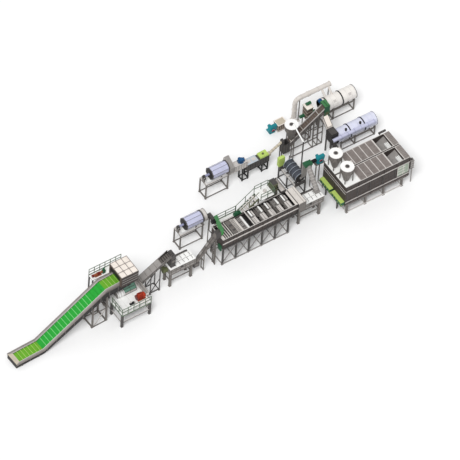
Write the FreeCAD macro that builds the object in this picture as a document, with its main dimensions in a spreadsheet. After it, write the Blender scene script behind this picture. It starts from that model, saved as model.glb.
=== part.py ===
import FreeCAD, Part
import os
import re

import Sketcher

# Plastic washing line at half size: crusher infeed, float tanks, wash drums, press, driers, settling tanks.
# X runs along the line from the infeed to the outlet, Y points to its rear side, Z is up from the floor.
# All sizes are in millimetres of the half-size model.

SIZES = {
    # middle of the whole line, which becomes the origin
    "centre_x": -1193.8,
    "centre_y": 790,
    # shared sections and clearances
    "seat": 0.3,
    "frame_bar": 60,
    "slim_bar": 40,
    "rail": 26,
    "sheet_wall": 20,
    "rail_height": 480,
    # infeed conveyor
    "infeed_x": -12970,
    "infeed_y": -1685,
    "infeed_turn": 2.6,
    "infeed_plate": 240,
    "infeed_low_run": 1410,
    "infeed_climb_run": 3680,
    "infeed_head_run": 1500,
    "infeed_low_top": 345,
    "infeed_head_top": 2490,
    "infeed_clear": 50,
    "infeed_depth": 590,
    "infeed_width": 780,
    "infeed_side": 90,
    "infeed_bed": 30,
    "infeed_bed_drop": 60,
    "belt_thick": 12,
    "belt_gap": 10,
    "cleat_pitch": 206,
    "cleat_tall": 44,
    "infeed_leg": 75,
    "infeed_tie": 1003,
    "infeed_leg_first": 4560,
    "infeed_leg_pitch": 830,
    "infeed_foot_first": 330,
    "infeed_foot_pitch": 990,
    # crusher, its hood and the two platforms
    "crusher_x": -6880,
    "crusher_y": -2010,
    "hood_long": 1000,
    "hood_wide": 1110,
    "hood_low": 2400,
    "hood_top": 3100,
    "hood_wall": 40,
    "hood_rib": 22,
    "hood_mouth_top": 3020,
    "crusher_inset": 130,
    "crusher_low": 1150,
    "throat_wall": 100,
    "crusher_front": 660,
    "casing_deep": 240,
    "casing_tall": 400,
    "casing_long": 720,
    "wheel_long": 400,
    "wheel_radius": 170,
    "pump_x": 870,
    "pump_y": -120,
    "pump_radius": 140,
    "pump_long": 470,
    "small_pump_x": 420,
    "small_pump_y": -240,
    "small_pump": 200,
    "drive_low": 1300,
    "drive_long": 200,
    "drive_wide": 420,
    "drive_tall": 300,
    "deck_long": 1730,
    "deck_wide": 1720,
    "deck_top": 950,
    "deck_thick": 40,
    "deck_leg": 110,
    "deck_ahead": 610,
    "deck_before": 270,
    "pad_side": 170,
    "pad_thick": 14,
    "rear_deck_top": 2400,
    "rear_deck_wide": 380,
    "rear_deck_long": 1900,
    "rear_deck_lead": 960,
}
SIZES.update({
    # first lift conveyor and its cross trough
    "lift_x": -5300,
    "lift_y": -1550,
    "lift_long": 1700,
    "lift_wide": 400,
    "lift_low": 1080,
    "lift_rise": 1020,
    "lift_deep": 220,
    "lift_leg_first": 500,
    "lift_leg_pitch": 540,
    "cross_long": 1080,
    "cross_wide": 180,
    "cross_deep": 160,
    "chute_long": 270,
    "chute_low": 1300.3,
    # float tanks
    "float_one_x": -3700,
    "float_two_x": 3980,
    "float_y": -1670,
    "float_long": 1516.4,
    "float_wide": 600,
    "float_top": 1300,
    "float_deep": 400,
    "float_leg": 110,
    "float_leg_pitch": 1230,
    "float_brace": 450,
    "float_motor": 270,
    # inclined lift screws
    "screw_wide": 250,
    "screw_box": 330,
    "screw_box_low": 560,
    "screw_low": 790,
    "screw_top": 2330,
    "screw_x": -2110,
    "screw_reach": 1180,
    "screw_spout": 300,
    "screw_guard_wide": 120,
    "screw_guard_deep": 700,
    "screw_guard_rise": 540,
    "screw_guard_thick": 250,
    "screw_motor": 220,
    "screw_stand_x": 1190,
    "screw_stand_wide": 690,
    "screw_y": -1550,
    "tube_x": 5300,
    "tube_y": -1240,
    "tube_low": 1440,
    "tube_top": 2500,
    "tube_reach": 900,
    "tube_wide": 270,
    "tube_spout": 104.7,
    # wash drums
    "drum_one_x": -1980,
    "drum_one_y": 30,
    "drum_two_x": 880,
    "drum_two_y": 2050,
    "stand_long": 1430,
    "stand_wide": 610,
    "stand_top": 1100,
    "stand_high_end": 1370,
    "drum_long": 1040,
    "drum_radius": 320,
    "drum_middle": 1480,
    "drum_lead": 360,
    "drum_shaft": 60,
    "drum_cap": 210,
    "outlet_low": 1110,
    "outlet_long": 560,
    "outlet_wide": 180,
    "outlet_tall": 150,
    # long washing tank
    "tank_x": -750,
    "tank_y": -1880,
    "tank_long": 4500,
    "tank_wide": 1030,
    "tank_low": 1300,
    "tank_top": 2000,
    "tank_wall": 30,
    "tank_split": 1870,
    "tank_leg": 80,
    "tank_leg_pitch": 782,
    "tank_bay": 488,
    "paddle_hub": 45,
    "paddle_reach": 205,
    "paddle_blade": 12,
    "paddle_middle": 1770,
    "paddle_gap": 12,
    "cover_long": 450,
    "tank_rail": 1650,
    "tank_slat_first": 260,
    "tank_slat_pitch": 62,
    "tank_slat_top": 1930,
    "tank_box_x": 760,
    "tank_box": 230,
    "tank_panel": 500,
    "tank_leg_lead": 30,
    "tank_brace": 260,
    "tank_bay_first": 275,
    "tank_motor_x": 1380,
    "tank_motor": 270,
    "walk_x": -250,
    "walk_y": -823.7,
    "walk_top": 1640,
    "walk_wide": 400,
    "walk_long": 1200,
    "landing_top": 2400,
    "landing_long": 830,
    "landing_wide": 640,
    "stair_run": 1100,
    "stair_steps": 6,
    "stair_tread": 150,
    "stair_string": 130,
    "landing_y": -1000,
    "landing_box": 120,
    "elevator_x": 2906.3,
    "elevator_y": -790,
    "elevator_long": 300,
    "elevator_wide": 400,
    "elevator_top": 2850,
    "transfer_x": 3350,
    "transfer_y": -900,
    "transfer_long": 900,
    "transfer_wide": 300,
    "transfer_low": 2000,
    # rinse drum across the line
    "rinse_x": 4760,
    "rinse_y": -180,
    "rinse_long": 1530,
    "rinse_wide": 660,
    "rinse_frame_top": 900,
    "rinse_post": 1400,
    "rinse_radius": 310,
    "rinse_middle": 1350,
    "rinse_drum_start": 60,
    "rinse_guard": 175,
    "rinse_drum_long": 1090,
    "rinse_ring": 22,
})
SIZES.update({
    # screw press
    "press_x": 2310,
    "press_y": 2060,
    "channel_long": 1050,
    "channel_wide": 340,
    "channel_lead": 290,
    "channel_step": 1160,
    "press_motor": 220,
    "press_box": 500,
    "channel_low": 1020,
    "channel_tall": 400,
    "press_long": 1320,
    "press_low": 650,
    "press_tall": 450,
    "press_wide": 360,
    "press_leg_first": 770,
    "press_leg_pitch": 1180,
    "press_leg_gap": 340,
    "narrow_wide": 140,
    "narrow_reach": 850,
    "narrow_rise": 520,
    "narrow_low": 960,
    # steep conveyor
    "steep_x": 5560,
    "steep_y": 2080,
    "steep_wide": 360,
    "steep_side": 55,
    "steep_long": 2460,
    "steep_boot": 400,
    "steep_low": 907,
    "steep_rise": 1463,
    "steep_drop": 60,
    "head_long": 300,
    "head_lap": 95,
    "head_side": 50,
    "head_low": 2000,
    "head_top": 2860,
    "head_drive": 220,
    "steep_deep": 330,
    "steep_boot_low": 560,
    "steep_leg_first": 1760,
    "steep_leg_pitch": 560,
    "silo_motor": 180,
    # silo box beside the steep conveyor
    "silo_x": 7250,
    "silo_y": 2600,
    "silo_long": 350,
    "silo_wide": 400,
    "silo_low": 1650,
    "silo_top": 2500,
    # cyclones
    "cyclone_radius": 330,
    "cyclone_tip": 130,
    "cyclone_cone": 720,
    "cyclone_drum": 330,
    "cyclone_rim": 30,
    "cyclone_wall": 14,
    "cyclone_inlet": 190,
    "blower_radius": 230,
    "blower_deep": 170,
    "blower_eye": 90,
    "blower_motor": 200,
    "cyclone_hole": 100,
    "cyclone_one_x": 6070,
    "cyclone_one_y": 2260,
    "cyclone_one_low": 1400,
    "cyclone_tie": 1060,
    "dust_x": 6070,
    "dust_radius": 36,
    "dust_rise": 170,
    "dust_reach": 930,
    "dust_fall": 420,
    "cyclone_two_x": 6590,
    "cyclone_two_y": -870,
    "cyclone_three_x": 6610,
    "cyclone_three_y": -1880,
    # air heater, blowers and the hot-air pipe
    "heater_x": 6430,
    "heater_y": 3800,
    "heater_long": 500,
    "heater_wide": 400,
    "heater_tall": 470,
    "pipe_x": 7430,
    "pipe_y": 3900,
    "pipe_radius": 125,
    "pipe_bend": 260,
    "pipe_low": 235,
    "pipe_high": 1820,
    "pipe_long": 2080,
    "branch_radius": 60,
    "branch_one": 1560,
    "branch_two": 1960,
    "branch_back": -430,
    "branch_lift": 300,
    "drier_ring": 22,
    "saddle_lap": 40,
    # driers
    "drier_x": 8600,
    "drier_y": 3300,
    "drier_long": 2000,
    "drier_radius": 370,
    "drier_middle": 1170,
    "drier_ring_one": 250,
    "drier_ring_two": 1120,
    "drier_leg_one": 100,
    "drier_leg_two": 640,
    "drier_leg_three": 1900,
    "drier_stand_wide": 540,
    "drier_motor": 260,
    "cooler_x": 8200,
    "cooler_y": 1400,
    "cooler_long": 2400,
    "cooler_radius": 360,
    "cooler_middle": 1020,
    "header_radius": 100,
    "header_out": 400,
    "header_up": 330,
    "cooler_ring_one": 750,
    "cooler_ring_two": 1610,
    "cooler_leg_one": 240,
    "cooler_leg_two": 1090,
    "cooler_leg_three": 2290,
    "inlet_long": 420,
    "inlet_ahead": 300,
    "inlet_wide": 500,
    "inlet_low": 1000,
    "inlet_top": 1639.7,
    "inlet_motor": 110,
    "cooler_port_one": 560,
    "cooler_port_two": 1430,
    "port_radius": 60,
    "chute_x": 7860,
    "chute_low_y": 1600,
    "chute_high_y": 2029.7,
    "chute_foot": 1640,
    "chute_broad": 260,
    "chute_thick": 150,
    "chute_climb": 370,
    # settling tanks
    "settle_x": 6310,
    "settle_y": -2340,
    "settle_long": 3880,
    "settle_wide": 950,
    "settle_gap": 60,
    "settle_low": 690,
    "settle_top": 2100,
    "settle_leg": 90,
    "settle_leg_first": 140,
    "settle_leg_pitch": 1110,
    "settle_deck": 900,
    "settle_panel": 380,
    "settle_panels": 5,
    "settle_pit": 760,
    "settle_rail_low": 900,
    "settle_rail_top": 1740,
    "settle_slope": 700,
    "settle_slope_rise": 500,
    "guard_long": 230,
    "guard_low": 750,
    "guard_tall": 220,
    "stub_long": 520,
    "end_box": 200,
    "end_box_low": 1200,
    "bracket_x": 6080,
    "bracket_y": -379.7,
    "bracket_deep": 430,
})

document = FreeCAD.newDocument("washing_line")
sheet = document.addObject("Spreadsheet::Sheet", "Sizes")
for row, (alias, size) in enumerate(SIZES.items(), start=1):
    sheet.set(f"A{row}", alias)
    sheet.set(f"B{row}", str(size))
    sheet.setAlias(f"B{row}", alias)
document.recompute()

WORD = re.compile(r"[a-z][a-z_]*")
ROD_SIDES = 12
ROUND_SIDES = 20
NODES = []


def linked(text):
    """Expression text with each size name pointed at its cell."""
    return WORD.sub(lambda word: f"Sizes.{word[0]}" if word[0] in SIZES else word[0], str(text))


def bind(item, **properties):
    """Bind properties such as Length or Placement_Base_x to expressions over the sheet."""
    for name, text in properties.items():
        item.setExpression(name.replace("_", "."), linked(text))


def place(item, x, y, z):
    """Bind the item's place."""
    bind(item, Placement_Base_x=x, Placement_Base_y=y, Placement_Base_z=z)


def box(x, y, z, long, wide, tall):
    """Box from its low corner and its sizes along X, Y and Z."""
    item = document.addObject("Part::Box", "Box")
    bind(item, Length=long, Width=wide, Height=tall)
    place(item, x, y, z)
    return item


def sloped(x, y, z, long, wide, tall, rise):
    """Bar with upright ends that climbs by rise along X."""
    item = document.addObject("Part::Wedge", "Sloped")
    bind(item, Xmin=0, Xmax=wide, X2min=0, X2max=wide, Ymin=0, Ymax=long)
    bind(item, Zmin=0, Zmax=tall, Z2min=rise, Z2max=f"({rise}) + ({tall})")
    item.Placement.Rotation = FreeCAD.Rotation(FreeCAD.Vector(0, 0, 1), -90)
    place(item, x, f"({y}) + ({wide})", z)
    return item


def leaning(x, y, z, long, wide, tall, rise):
    """Bar with upright ends that climbs by rise along Y."""
    item = document.addObject("Part::Wedge", "Leaning")
    bind(item, Xmin=0, Xmax=long, X2min=0, X2max=long, Ymin=0, Ymax=wide)
    bind(item, Zmin=0, Zmax=tall, Z2min=rise, Z2max=f"({rise}) + ({tall})")
    place(item, x, y, z)
    return item


def roofed(x, y, z, long, wide, front_tall, back_tall):
    """Box with a flat foot whose top slopes from its front height to its back height along Y."""
    item = document.addObject("Part::Wedge", "Roofed")
    bind(item, Xmin=0, Xmax=long, X2min=0, X2max=long, Ymin=0, Ymax=wide)
    bind(item, Zmin=0, Zmax=front_tall, Z2min=0, Z2max=back_tall)
    place(item, x, y, z)
    return item


def hopper(x, y, z, long, wide, tall, inset_x, inset_y):
    """Box whose foot is narrower than its top by an inset on each side."""
    item = document.addObject("Part::Wedge", "Hopper")
    bind(item, Xmin=inset_x, Xmax=f"({long}) - ({inset_x})", X2min=0, X2max=long, Ymin=0, Ymax=tall)
    bind(item, Zmin=inset_y, Zmax=f"({wide}) - ({inset_y})", Z2min=0, Z2max=wide)
    item.Placement.Rotation = FreeCAD.Rotation(FreeCAD.Vector(1, 0, 0), 90)
    place(item, x, f"({y}) + ({wide})", z)
    return item


TURNS = {
    "x": (FreeCAD.Vector(0, 1, 0), 90),
    "y": (FreeCAD.Vector(1, 0, 0), -90),
    "z": (FreeCAD.Vector(0, 0, 1), 0),
}


def prism(axis, x, y, z, radius, long, sides):
    """Regular prism along an axis, such as an octagonal drum."""
    item = document.addObject("Part::Prism", "Prism")
    item.Polygon = sides
    bind(item, Circumradius=radius, Height=long)
    face = FreeCAD.Rotation(FreeCAD.Vector(0, 0, 1), 180 / sides)
    item.Placement.Rotation = FreeCAD.Rotation(*TURNS[axis]) * face
    place(item, x, y, z)
    return item


def rod(axis, x, y, z, radius, long):
    """Round part such as a shaft or motor, kept to a few flat faces."""
    return prism(axis, x, y, z, radius, long, ROD_SIDES)


def frustum(x, y, z, low_radius, top_radius, tall):
    """Upright cone piece lofted between two rims."""
    rims = []
    for radius, level in ((low_radius, z), (top_radius, f"({z}) + ({tall})")):
        rim = document.addObject("Part::RegularPolygon", "Rim")
        rim.Polygon = ROUND_SIDES
        bind(rim, Circumradius=radius)
        rim.Placement.Rotation = FreeCAD.Rotation(FreeCAD.Vector(0, 0, 1), 180 / ROUND_SIDES)
        place(rim, x, y, level)
        rims.append(rim)
    item = document.addObject("Part::Loft", "Frustum")
    item.Sections = rims
    item.Solid = True
    item.Ruled = True
    return item


def slant(axis, x, y, z, radius, reach, rise):
    """Inclined tube from its low end, by its reach along an axis and its rise."""
    item = document.addObject("Part::Prism", "Slant")
    item.Polygon = ROD_SIDES
    bind(item, Circumradius=radius, Height=f"sqrt(({reach})^2 + ({rise})^2)")
    turn = FreeCAD.Vector(0, 1, 0) if axis == "x" else FreeCAD.Vector(-1, 0, 0)
    item.Placement.Rotation = FreeCAD.Rotation(turn, 45)
    bind(item, Placement_Rotation_Angle=f"atan2({reach}; {rise})")
    place(item, x, y, z)
    return item


def fused(pieces):
    """One solid, or one group of solids, from pieces that touch."""
    if len(pieces) == 1:
        return pieces[0]
    item = document.addObject("Part::MultiFuse", "Fused")
    item.Shapes = pieces
    item.Refine = True
    return item


def cut(base, tools):
    """The base with the tools taken out of it."""
    item = document.addObject("Part::Cut", "Cut")
    item.Base = base
    item.Tool = fused(tools)
    item.Refine = True
    return item


def node(name, pieces, x, y, z="0", turn=None, apart=False):
    """Join a machine part's pieces under its name and set its station on the line."""
    if apart or len(pieces) == 1:
        item = document.addObject("Part::Compound", "Group")
        item.Links = pieces
    else:
        item = fused(pieces)
    item.Label = name
    place(item, f"{x} - centre_x", f"{y} - centre_y", z)
    if turn:
        item.Placement.Rotation = FreeCAD.Rotation(FreeCAD.Vector(0, 0, 1), 1)
        bind(item, Placement_Rotation_Angle=turn)
    NODES.append(item)
    return item


def table_frame(long, wide, top, bar, stations, brace):
    """Frame of legs at stations along X with top rails, low ties and cross bars."""
    pieces = []
    for at in stations:
        pieces.append(box(at, "0", "0", bar, bar, top))
        pieces.append(box(at, f"({wide}) - ({bar})", "0", bar, bar, top))
        pieces.append(box(at, "0", f"({top}) - ({bar})", bar, wide, bar))
        pieces.append(box(at, "0", brace, bar, wide, "slim_bar"))
    for side in ("0", f"({wide}) - ({bar})"):
        pieces.append(box("0", side, f"({top}) - ({bar})", long, bar, bar))
        pieces.append(box(stations[0], side, brace, f"({stations[-1]}) - ({stations[0]})", "slim_bar",
                          "slim_bar"))
    return pieces


def railing_x(x, y, z, long, posts):
    """Handrail along X with a knee rail and evenly spaced posts."""
    pieces = [box(x, y, f"({z}) + rail_height - rail", long, "rail", "rail")]
    pieces.append(box(x, y, f"({z}) + rail_height / 2", long, "rail", "rail"))
    for at in range(posts):
        offset = f"({x}) + (({long}) - rail) * {at} / {posts - 1}"
        pieces.append(box(offset, y, z, "rail", "rail", "rail_height"))
    return pieces


def railing_y(x, y, z, wide, posts):
    """Handrail along Y with a knee rail and evenly spaced posts."""
    pieces = [box(x, y, f"({z}) + rail_height - rail", "rail", wide, "rail")]
    pieces.append(box(x, y, f"({z}) + rail_height / 2", "rail", wide, "rail"))
    for at in range(posts):
        offset = f"({y}) + (({wide}) - rail) * {at} / {posts - 1}"
        pieces.append(box(x, offset, z, "rail", "rail", "rail_height"))
    return pieces


def origin_plane(body, role):
    """The body's own origin plane with this role."""
    return next(feature for feature in body.Origin.OriginFeatures if feature.Role == role)


def outline(body, role, points, offset="0"):
    """Closed sketch on an origin plane, each corner tied to the sheet."""
    sketch = body.newObject("Sketcher::SketchObject", "Outline")
    sketch.AttachmentSupport = [(origin_plane(body, role), "")]
    sketch.MapMode = "FlatFace"
    bind(sketch, AttachmentOffset_Base_z=offset)
    corners = [FreeCAD.Vector(float(k * 10), float((k * 37) % 50), 0) for k in range(len(points))]
    for k, corner in enumerate(corners):
        sketch.addGeometry(Part.LineSegment(corner, corners[(k + 1) % len(corners)]), False)
    for k in range(len(points)):
        sketch.addConstraint(Sketcher.Constraint("Coincident", k, 2, (k + 1) % len(points), 1))
    for k, (along, up) in enumerate(points):
        for kind, text, start in (("DistanceX", along, corners[k].x), ("DistanceY", up, corners[k].y)):
            index = sketch.addConstraint(Sketcher.Constraint(kind, -1, 1, k, 1, start))
            sketch.setExpression(f"Constraints[{index}]", linked(text))
    return sketch


def pad(body, sketch, length):
    """Pad a sketch by a bound length."""
    feature = body.newObject("PartDesign::Pad", "Pad")
    feature.Profile = sketch
    bind(feature, Length=length)
    return feature


def shifted(points, depth):
    """Points of a run line moved down by a depth."""
    return [(along, f"({up}) - ({depth})") for along, up in points]


def infeed():
    """Inclined cleated conveyor that feeds the crusher."""
    low_end = "infeed_plate + infeed_low_run"
    high_start = f"{low_end} + infeed_climb_run"
    head = f"{high_start} + infeed_head_run"
    line = [("0", "infeed_low_top"), (low_end, "infeed_low_top")]
    line += [(high_start, "infeed_head_top"), (head, "infeed_head_top")]
    under = [(head, "infeed_head_top - infeed_depth"), (high_start, "infeed_head_top - infeed_depth")]
    under += [(f"{low_end} + infeed_clear", "infeed_clear"), ("0", "infeed_clear")]
    body = document.addObject("PartDesign::Body", "InfeedBody")
    bed_top = shifted(line, "infeed_bed_drop")
    bed_low = shifted(line, "infeed_bed_drop + infeed_bed")
    pad(body, outline(body, "XZ_Plane", line + under), "infeed_side")
    bed_wide = "infeed_width - 2 * infeed_side"
    pad(body, outline(body, "XZ_Plane", bed_top + bed_low[::-1], "infeed_side"), bed_wide)
    pad(body, outline(body, "XZ_Plane", line + under, "infeed_width - infeed_side"), "infeed_side")
    place(body, "0", "infeed_width / 2", "0")
    pieces = [body]
    inner = "infeed_side - infeed_width / 2"
    pieces.append(box("0", inner, "infeed_clear", "infeed_plate", bed_wide,
                      "infeed_low_top - infeed_clear"))
    for at in range(2):
        spot = f"infeed_foot_first + {at} * infeed_foot_pitch"
        for side in ("-infeed_width / 2", "infeed_width / 2 - infeed_leg"):
            pieces.append(box(spot, side, "0", "infeed_leg", "infeed_leg", "infeed_clear"))
    node("infeed_conveyor", pieces, "infeed_x", "infeed_y", turn="infeed_turn")

    start = "infeed_plate + belt_gap"
    belt_line = [(start, "infeed_low_top"), (low_end, "infeed_low_top"), (high_start, "infeed_head_top")]
    belt_line.append((f"{head} - belt_gap", "infeed_head_top"))
    above = shifted(belt_line, "infeed_bed_drop - belt_thick")
    below = shifted(belt_line, "infeed_bed_drop")
    belt = document.addObject("PartDesign::Body", "BeltBody")
    pad(belt, outline(belt, "XZ_Plane", above + below[::-1]),
        "infeed_width - 2 * infeed_side - 2 * belt_gap")
    place(belt, "0", "infeed_width / 2 - infeed_side - belt_gap", "0")
    pieces = [belt]
    side = "infeed_side + belt_gap - infeed_width / 2"
    wide = "infeed_width - 2 * infeed_side - 2 * belt_gap"
    low = "infeed_low_top - infeed_bed_drop + belt_thick / 2"
    slope = "(infeed_head_top - infeed_low_top) / infeed_climb_run"
    for at in range(1, 7):
        x = f"{start} + {at} * cleat_pitch"
        pieces.append(box(x, side, low, "belt_thick", wide, "cleat_tall"))
        x = f"{high_start} + {at} * cleat_pitch"
        pieces.append(box(x, side, f"{low} + infeed_head_top - infeed_low_top", "belt_thick", wide,
                          "cleat_tall"))
    for at in range(1, 18):
        z = f"{low} + {at} * cleat_pitch * {slope}"
        pieces.append(sloped(f"{low_end} + {at} * cleat_pitch", side, z, "belt_thick", wide, "cleat_tall",
                             f"belt_thick * {slope}"))
    node("infeed_belt", pieces, "infeed_x", "infeed_y", turn="infeed_turn")

    pieces = []
    top = "infeed_head_top - infeed_depth"
    rise = f"({top} - infeed_clear) / (infeed_climb_run - infeed_clear)"
    for at in range(2):
        x = f"infeed_leg_first + {at} * infeed_leg_pitch"
        reach = f"{top}" if at else f"infeed_clear + ({x} - ({low_end} + infeed_clear)) * {rise}"
        for side in ("-infeed_width / 2", "infeed_width / 2 - infeed_leg"):
            pieces.append(box(x, side, "0", "infeed_leg", "infeed_leg", reach))
        for level in ("0", "infeed_tie"):
            pieces.append(box(x, "-infeed_width / 2", level, "infeed_leg", "infeed_width", "slim_bar"))
    for side in ("-infeed_width / 2", "infeed_width / 2 - slim_bar"):
        for level in ("0", "infeed_tie"):
            pieces.append(box("infeed_leg_first", side, level, "infeed_leg_pitch", "slim_bar", "slim_bar"))
        pieces.append(sloped("infeed_leg_first + infeed_leg", side, "slim_bar",
                             "infeed_leg_pitch - infeed_leg",
                             "slim_bar", "slim_bar", "infeed_tie - slim_bar"))
    node("infeed_stand", pieces, "infeed_x", "infeed_y", turn="infeed_turn")


def crusher():
    """Crusher under its hood, on the front platform."""
    wall = "hood_wall"
    tall = "hood_top - hood_low"
    outer = box("0", "0", "hood_low", "hood_long", "hood_wide", tall)
    room = box(wall, wall, "hood_low", f"hood_long - 2 * {wall}", f"hood_wide - 2 * {wall}",
               f"{tall} - {wall}")
    mouth = box("0", "hood_wide / 2 - infeed_width / 2 - belt_gap", "hood_low", wall,
                "infeed_width + 2 * belt_gap + hood_wall * 1.6", "hood_mouth_top - hood_low")
    pieces = [cut(outer, [room, mouth])]
    for at in range(4):
        across = f"(hood_long - hood_rib) * {at} / 3"
        along = f"(hood_wide - hood_rib) * {at} / 3"
        pieces.append(box(across, "0", "hood_top", "hood_rib", "hood_wide", "hood_rib"))
        pieces.append(box("0", along, "hood_top", "hood_long", "hood_rib", "hood_rib"))
    for at in range(3):
        level = f"hood_low + ({tall}) * ({at} + 1) / 4"
        pieces.append(box(wall, "-hood_rib", level, f"hood_long - 2 * {wall}", "hood_rib", "hood_rib"))
    pieces.append(box("hood_long - deck_leg / 2", "hood_wide - deck_leg / 2", "deck_top",
                      "deck_leg / 2", "deck_leg / 2", "hood_low - deck_top"))
    node("crusher_hood", pieces, "crusher_x", "crusher_y")

    inset = "crusher_inset"
    long = "hood_long - 2 * crusher_inset"
    wide = "hood_wide - crusher_inset - crusher_front"
    front = "crusher_front"
    under = "infeed_head_top - infeed_depth - seat"
    pieces = [box(inset, front, "crusher_low", long, wide, f"{under} - crusher_low")]
    pieces.append(box("hood_long - crusher_inset - throat_wall", front, under, "throat_wall", wide,
                      f"hood_low - ({under})"))
    for at in (inset, "hood_long - crusher_inset - deck_leg"):
        pieces.append(box(at, front, "deck_top", "deck_leg", wide, "crusher_low - deck_top"))
    pieces.append(roofed("crusher_inset + wheel_long", f"{front} - casing_deep", "deck_top", "casing_long",
                         "casing_deep",
                         "casing_tall / 2", "casing_tall"))
    pieces.append(rod("x", "crusher_inset", f"{front} - wheel_radius * 0.8", "deck_top + wheel_radius",
                      "wheel_radius", "wheel_long"))
    node("crusher_body", pieces, "crusher_x", "crusher_y")

    ahead = "-deck_ahead"
    before = "-deck_before"
    pieces = [box(before, ahead, "deck_top - deck_thick", "deck_long", "deck_wide", "deck_thick")]
    for x in (before, "deck_long - deck_before - deck_leg"):
        for y in (ahead, f"{ahead} + deck_wide * 0.55", f"{ahead} + deck_wide - deck_leg"):
            pieces.append(box(x, y, "pad_thick", "deck_leg", "deck_leg",
                              "deck_top - deck_thick - pad_thick"))
            pieces.append(box(f"{x} - (pad_side - deck_leg) / 2", f"{y} - (pad_side - deck_leg) / 2", "0",
                              "pad_side", "pad_side", "pad_thick"))
        pieces.append(box(x, ahead, "deck_top * 0.4", "slim_bar", "deck_wide", "slim_bar"))
    for y in (ahead, f"{ahead} + deck_wide - slim_bar"):
        pieces.append(box(before, y, "deck_top * 0.4", "deck_long", "slim_bar", "slim_bar"))
    node("front_platform", pieces, "crusher_x", "crusher_y")

    pieces = railing_x(before, ahead, "deck_top", "deck_long", 6)
    pieces += railing_y(before, ahead, "deck_top", "deck_wide * 0.55", 4)
    node("front_railing", pieces, "crusher_x", "crusher_y")

    deck = "rear_deck_top"
    start = "-rear_deck_lead"
    back = "hood_wide"
    pieces = [box(start, back, f"{deck} - deck_thick", "rear_deck_long", "rear_deck_wide", "deck_thick")]
    for x in (start, f"{start} + rear_deck_long - frame_bar"):
        for y in (back, f"{back} + rear_deck_wide - frame_bar"):
            pieces.append(box(x, y, "0", "frame_bar", "frame_bar", f"{deck} - deck_thick"))
        pieces.append(box(x, back, f"{deck} / 2", "slim_bar", "rear_deck_wide", "slim_bar"))
    pieces += railing_x(start, f"{back} + rear_deck_wide - rail", deck, "rear_deck_long", 7)
    node("rear_platform", pieces, "crusher_x", "crusher_y")

    floor = "deck_top"
    middle = f"{floor} + frame_bar + pump_radius"
    motor = [box("pump_x + slim_bar", "pump_y - pump_radius", floor, "pump_long - slim_bar",
                 "pump_radius * 2", "frame_bar * 1.2")]
    motor.append(rod("x", "pump_x", "pump_y", middle, "pump_radius", "pump_long"))
    motor.append(box("pump_x + frame_bar", "pump_y - frame_bar", middle, "pump_long / 2", "pump_radius",
                     "pump_radius * 1.6"))
    motor.append(rod("x", "pump_x + pump_long * 0.75", "pump_y", middle, "pump_radius * 1.2", "frame_bar"))
    small = [box("small_pump_x", "small_pump_y - small_pump / 2", floor, "small_pump", "small_pump",
                 "slim_bar")]
    small.append(rod("x", "small_pump_x", "small_pump_y", f"{floor} + small_pump / 2", "small_pump / 3",
                     "small_pump * 1.3"))
    small.append(rod("z", "small_pump_x + slim_bar * 1.2", "small_pump_y", f"{floor} + slim_bar",
                     "slim_bar", "small_pump"))
    node("water_pump", [fused(motor), fused(small)], "crusher_x", "crusher_y", apart=True)

    pieces = [box("-drive_long - slim_bar", "crusher_front", "drive_low", "drive_long", "drive_wide",
                  "drive_tall")]
    pieces.append(box("-slim_bar", "crusher_front + frame_bar", "drive_low + frame_bar",
                      "crusher_inset + slim_bar",
                      "drive_wide / 2", "drive_tall / 2"))
    pieces.append(box("-drive_long - slim_bar", "crusher_front", floor, "frame_bar", "drive_wide",
                      f"drive_low - {floor}"))
    node("crusher_drive", pieces, "crusher_x", "crusher_y")


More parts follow.
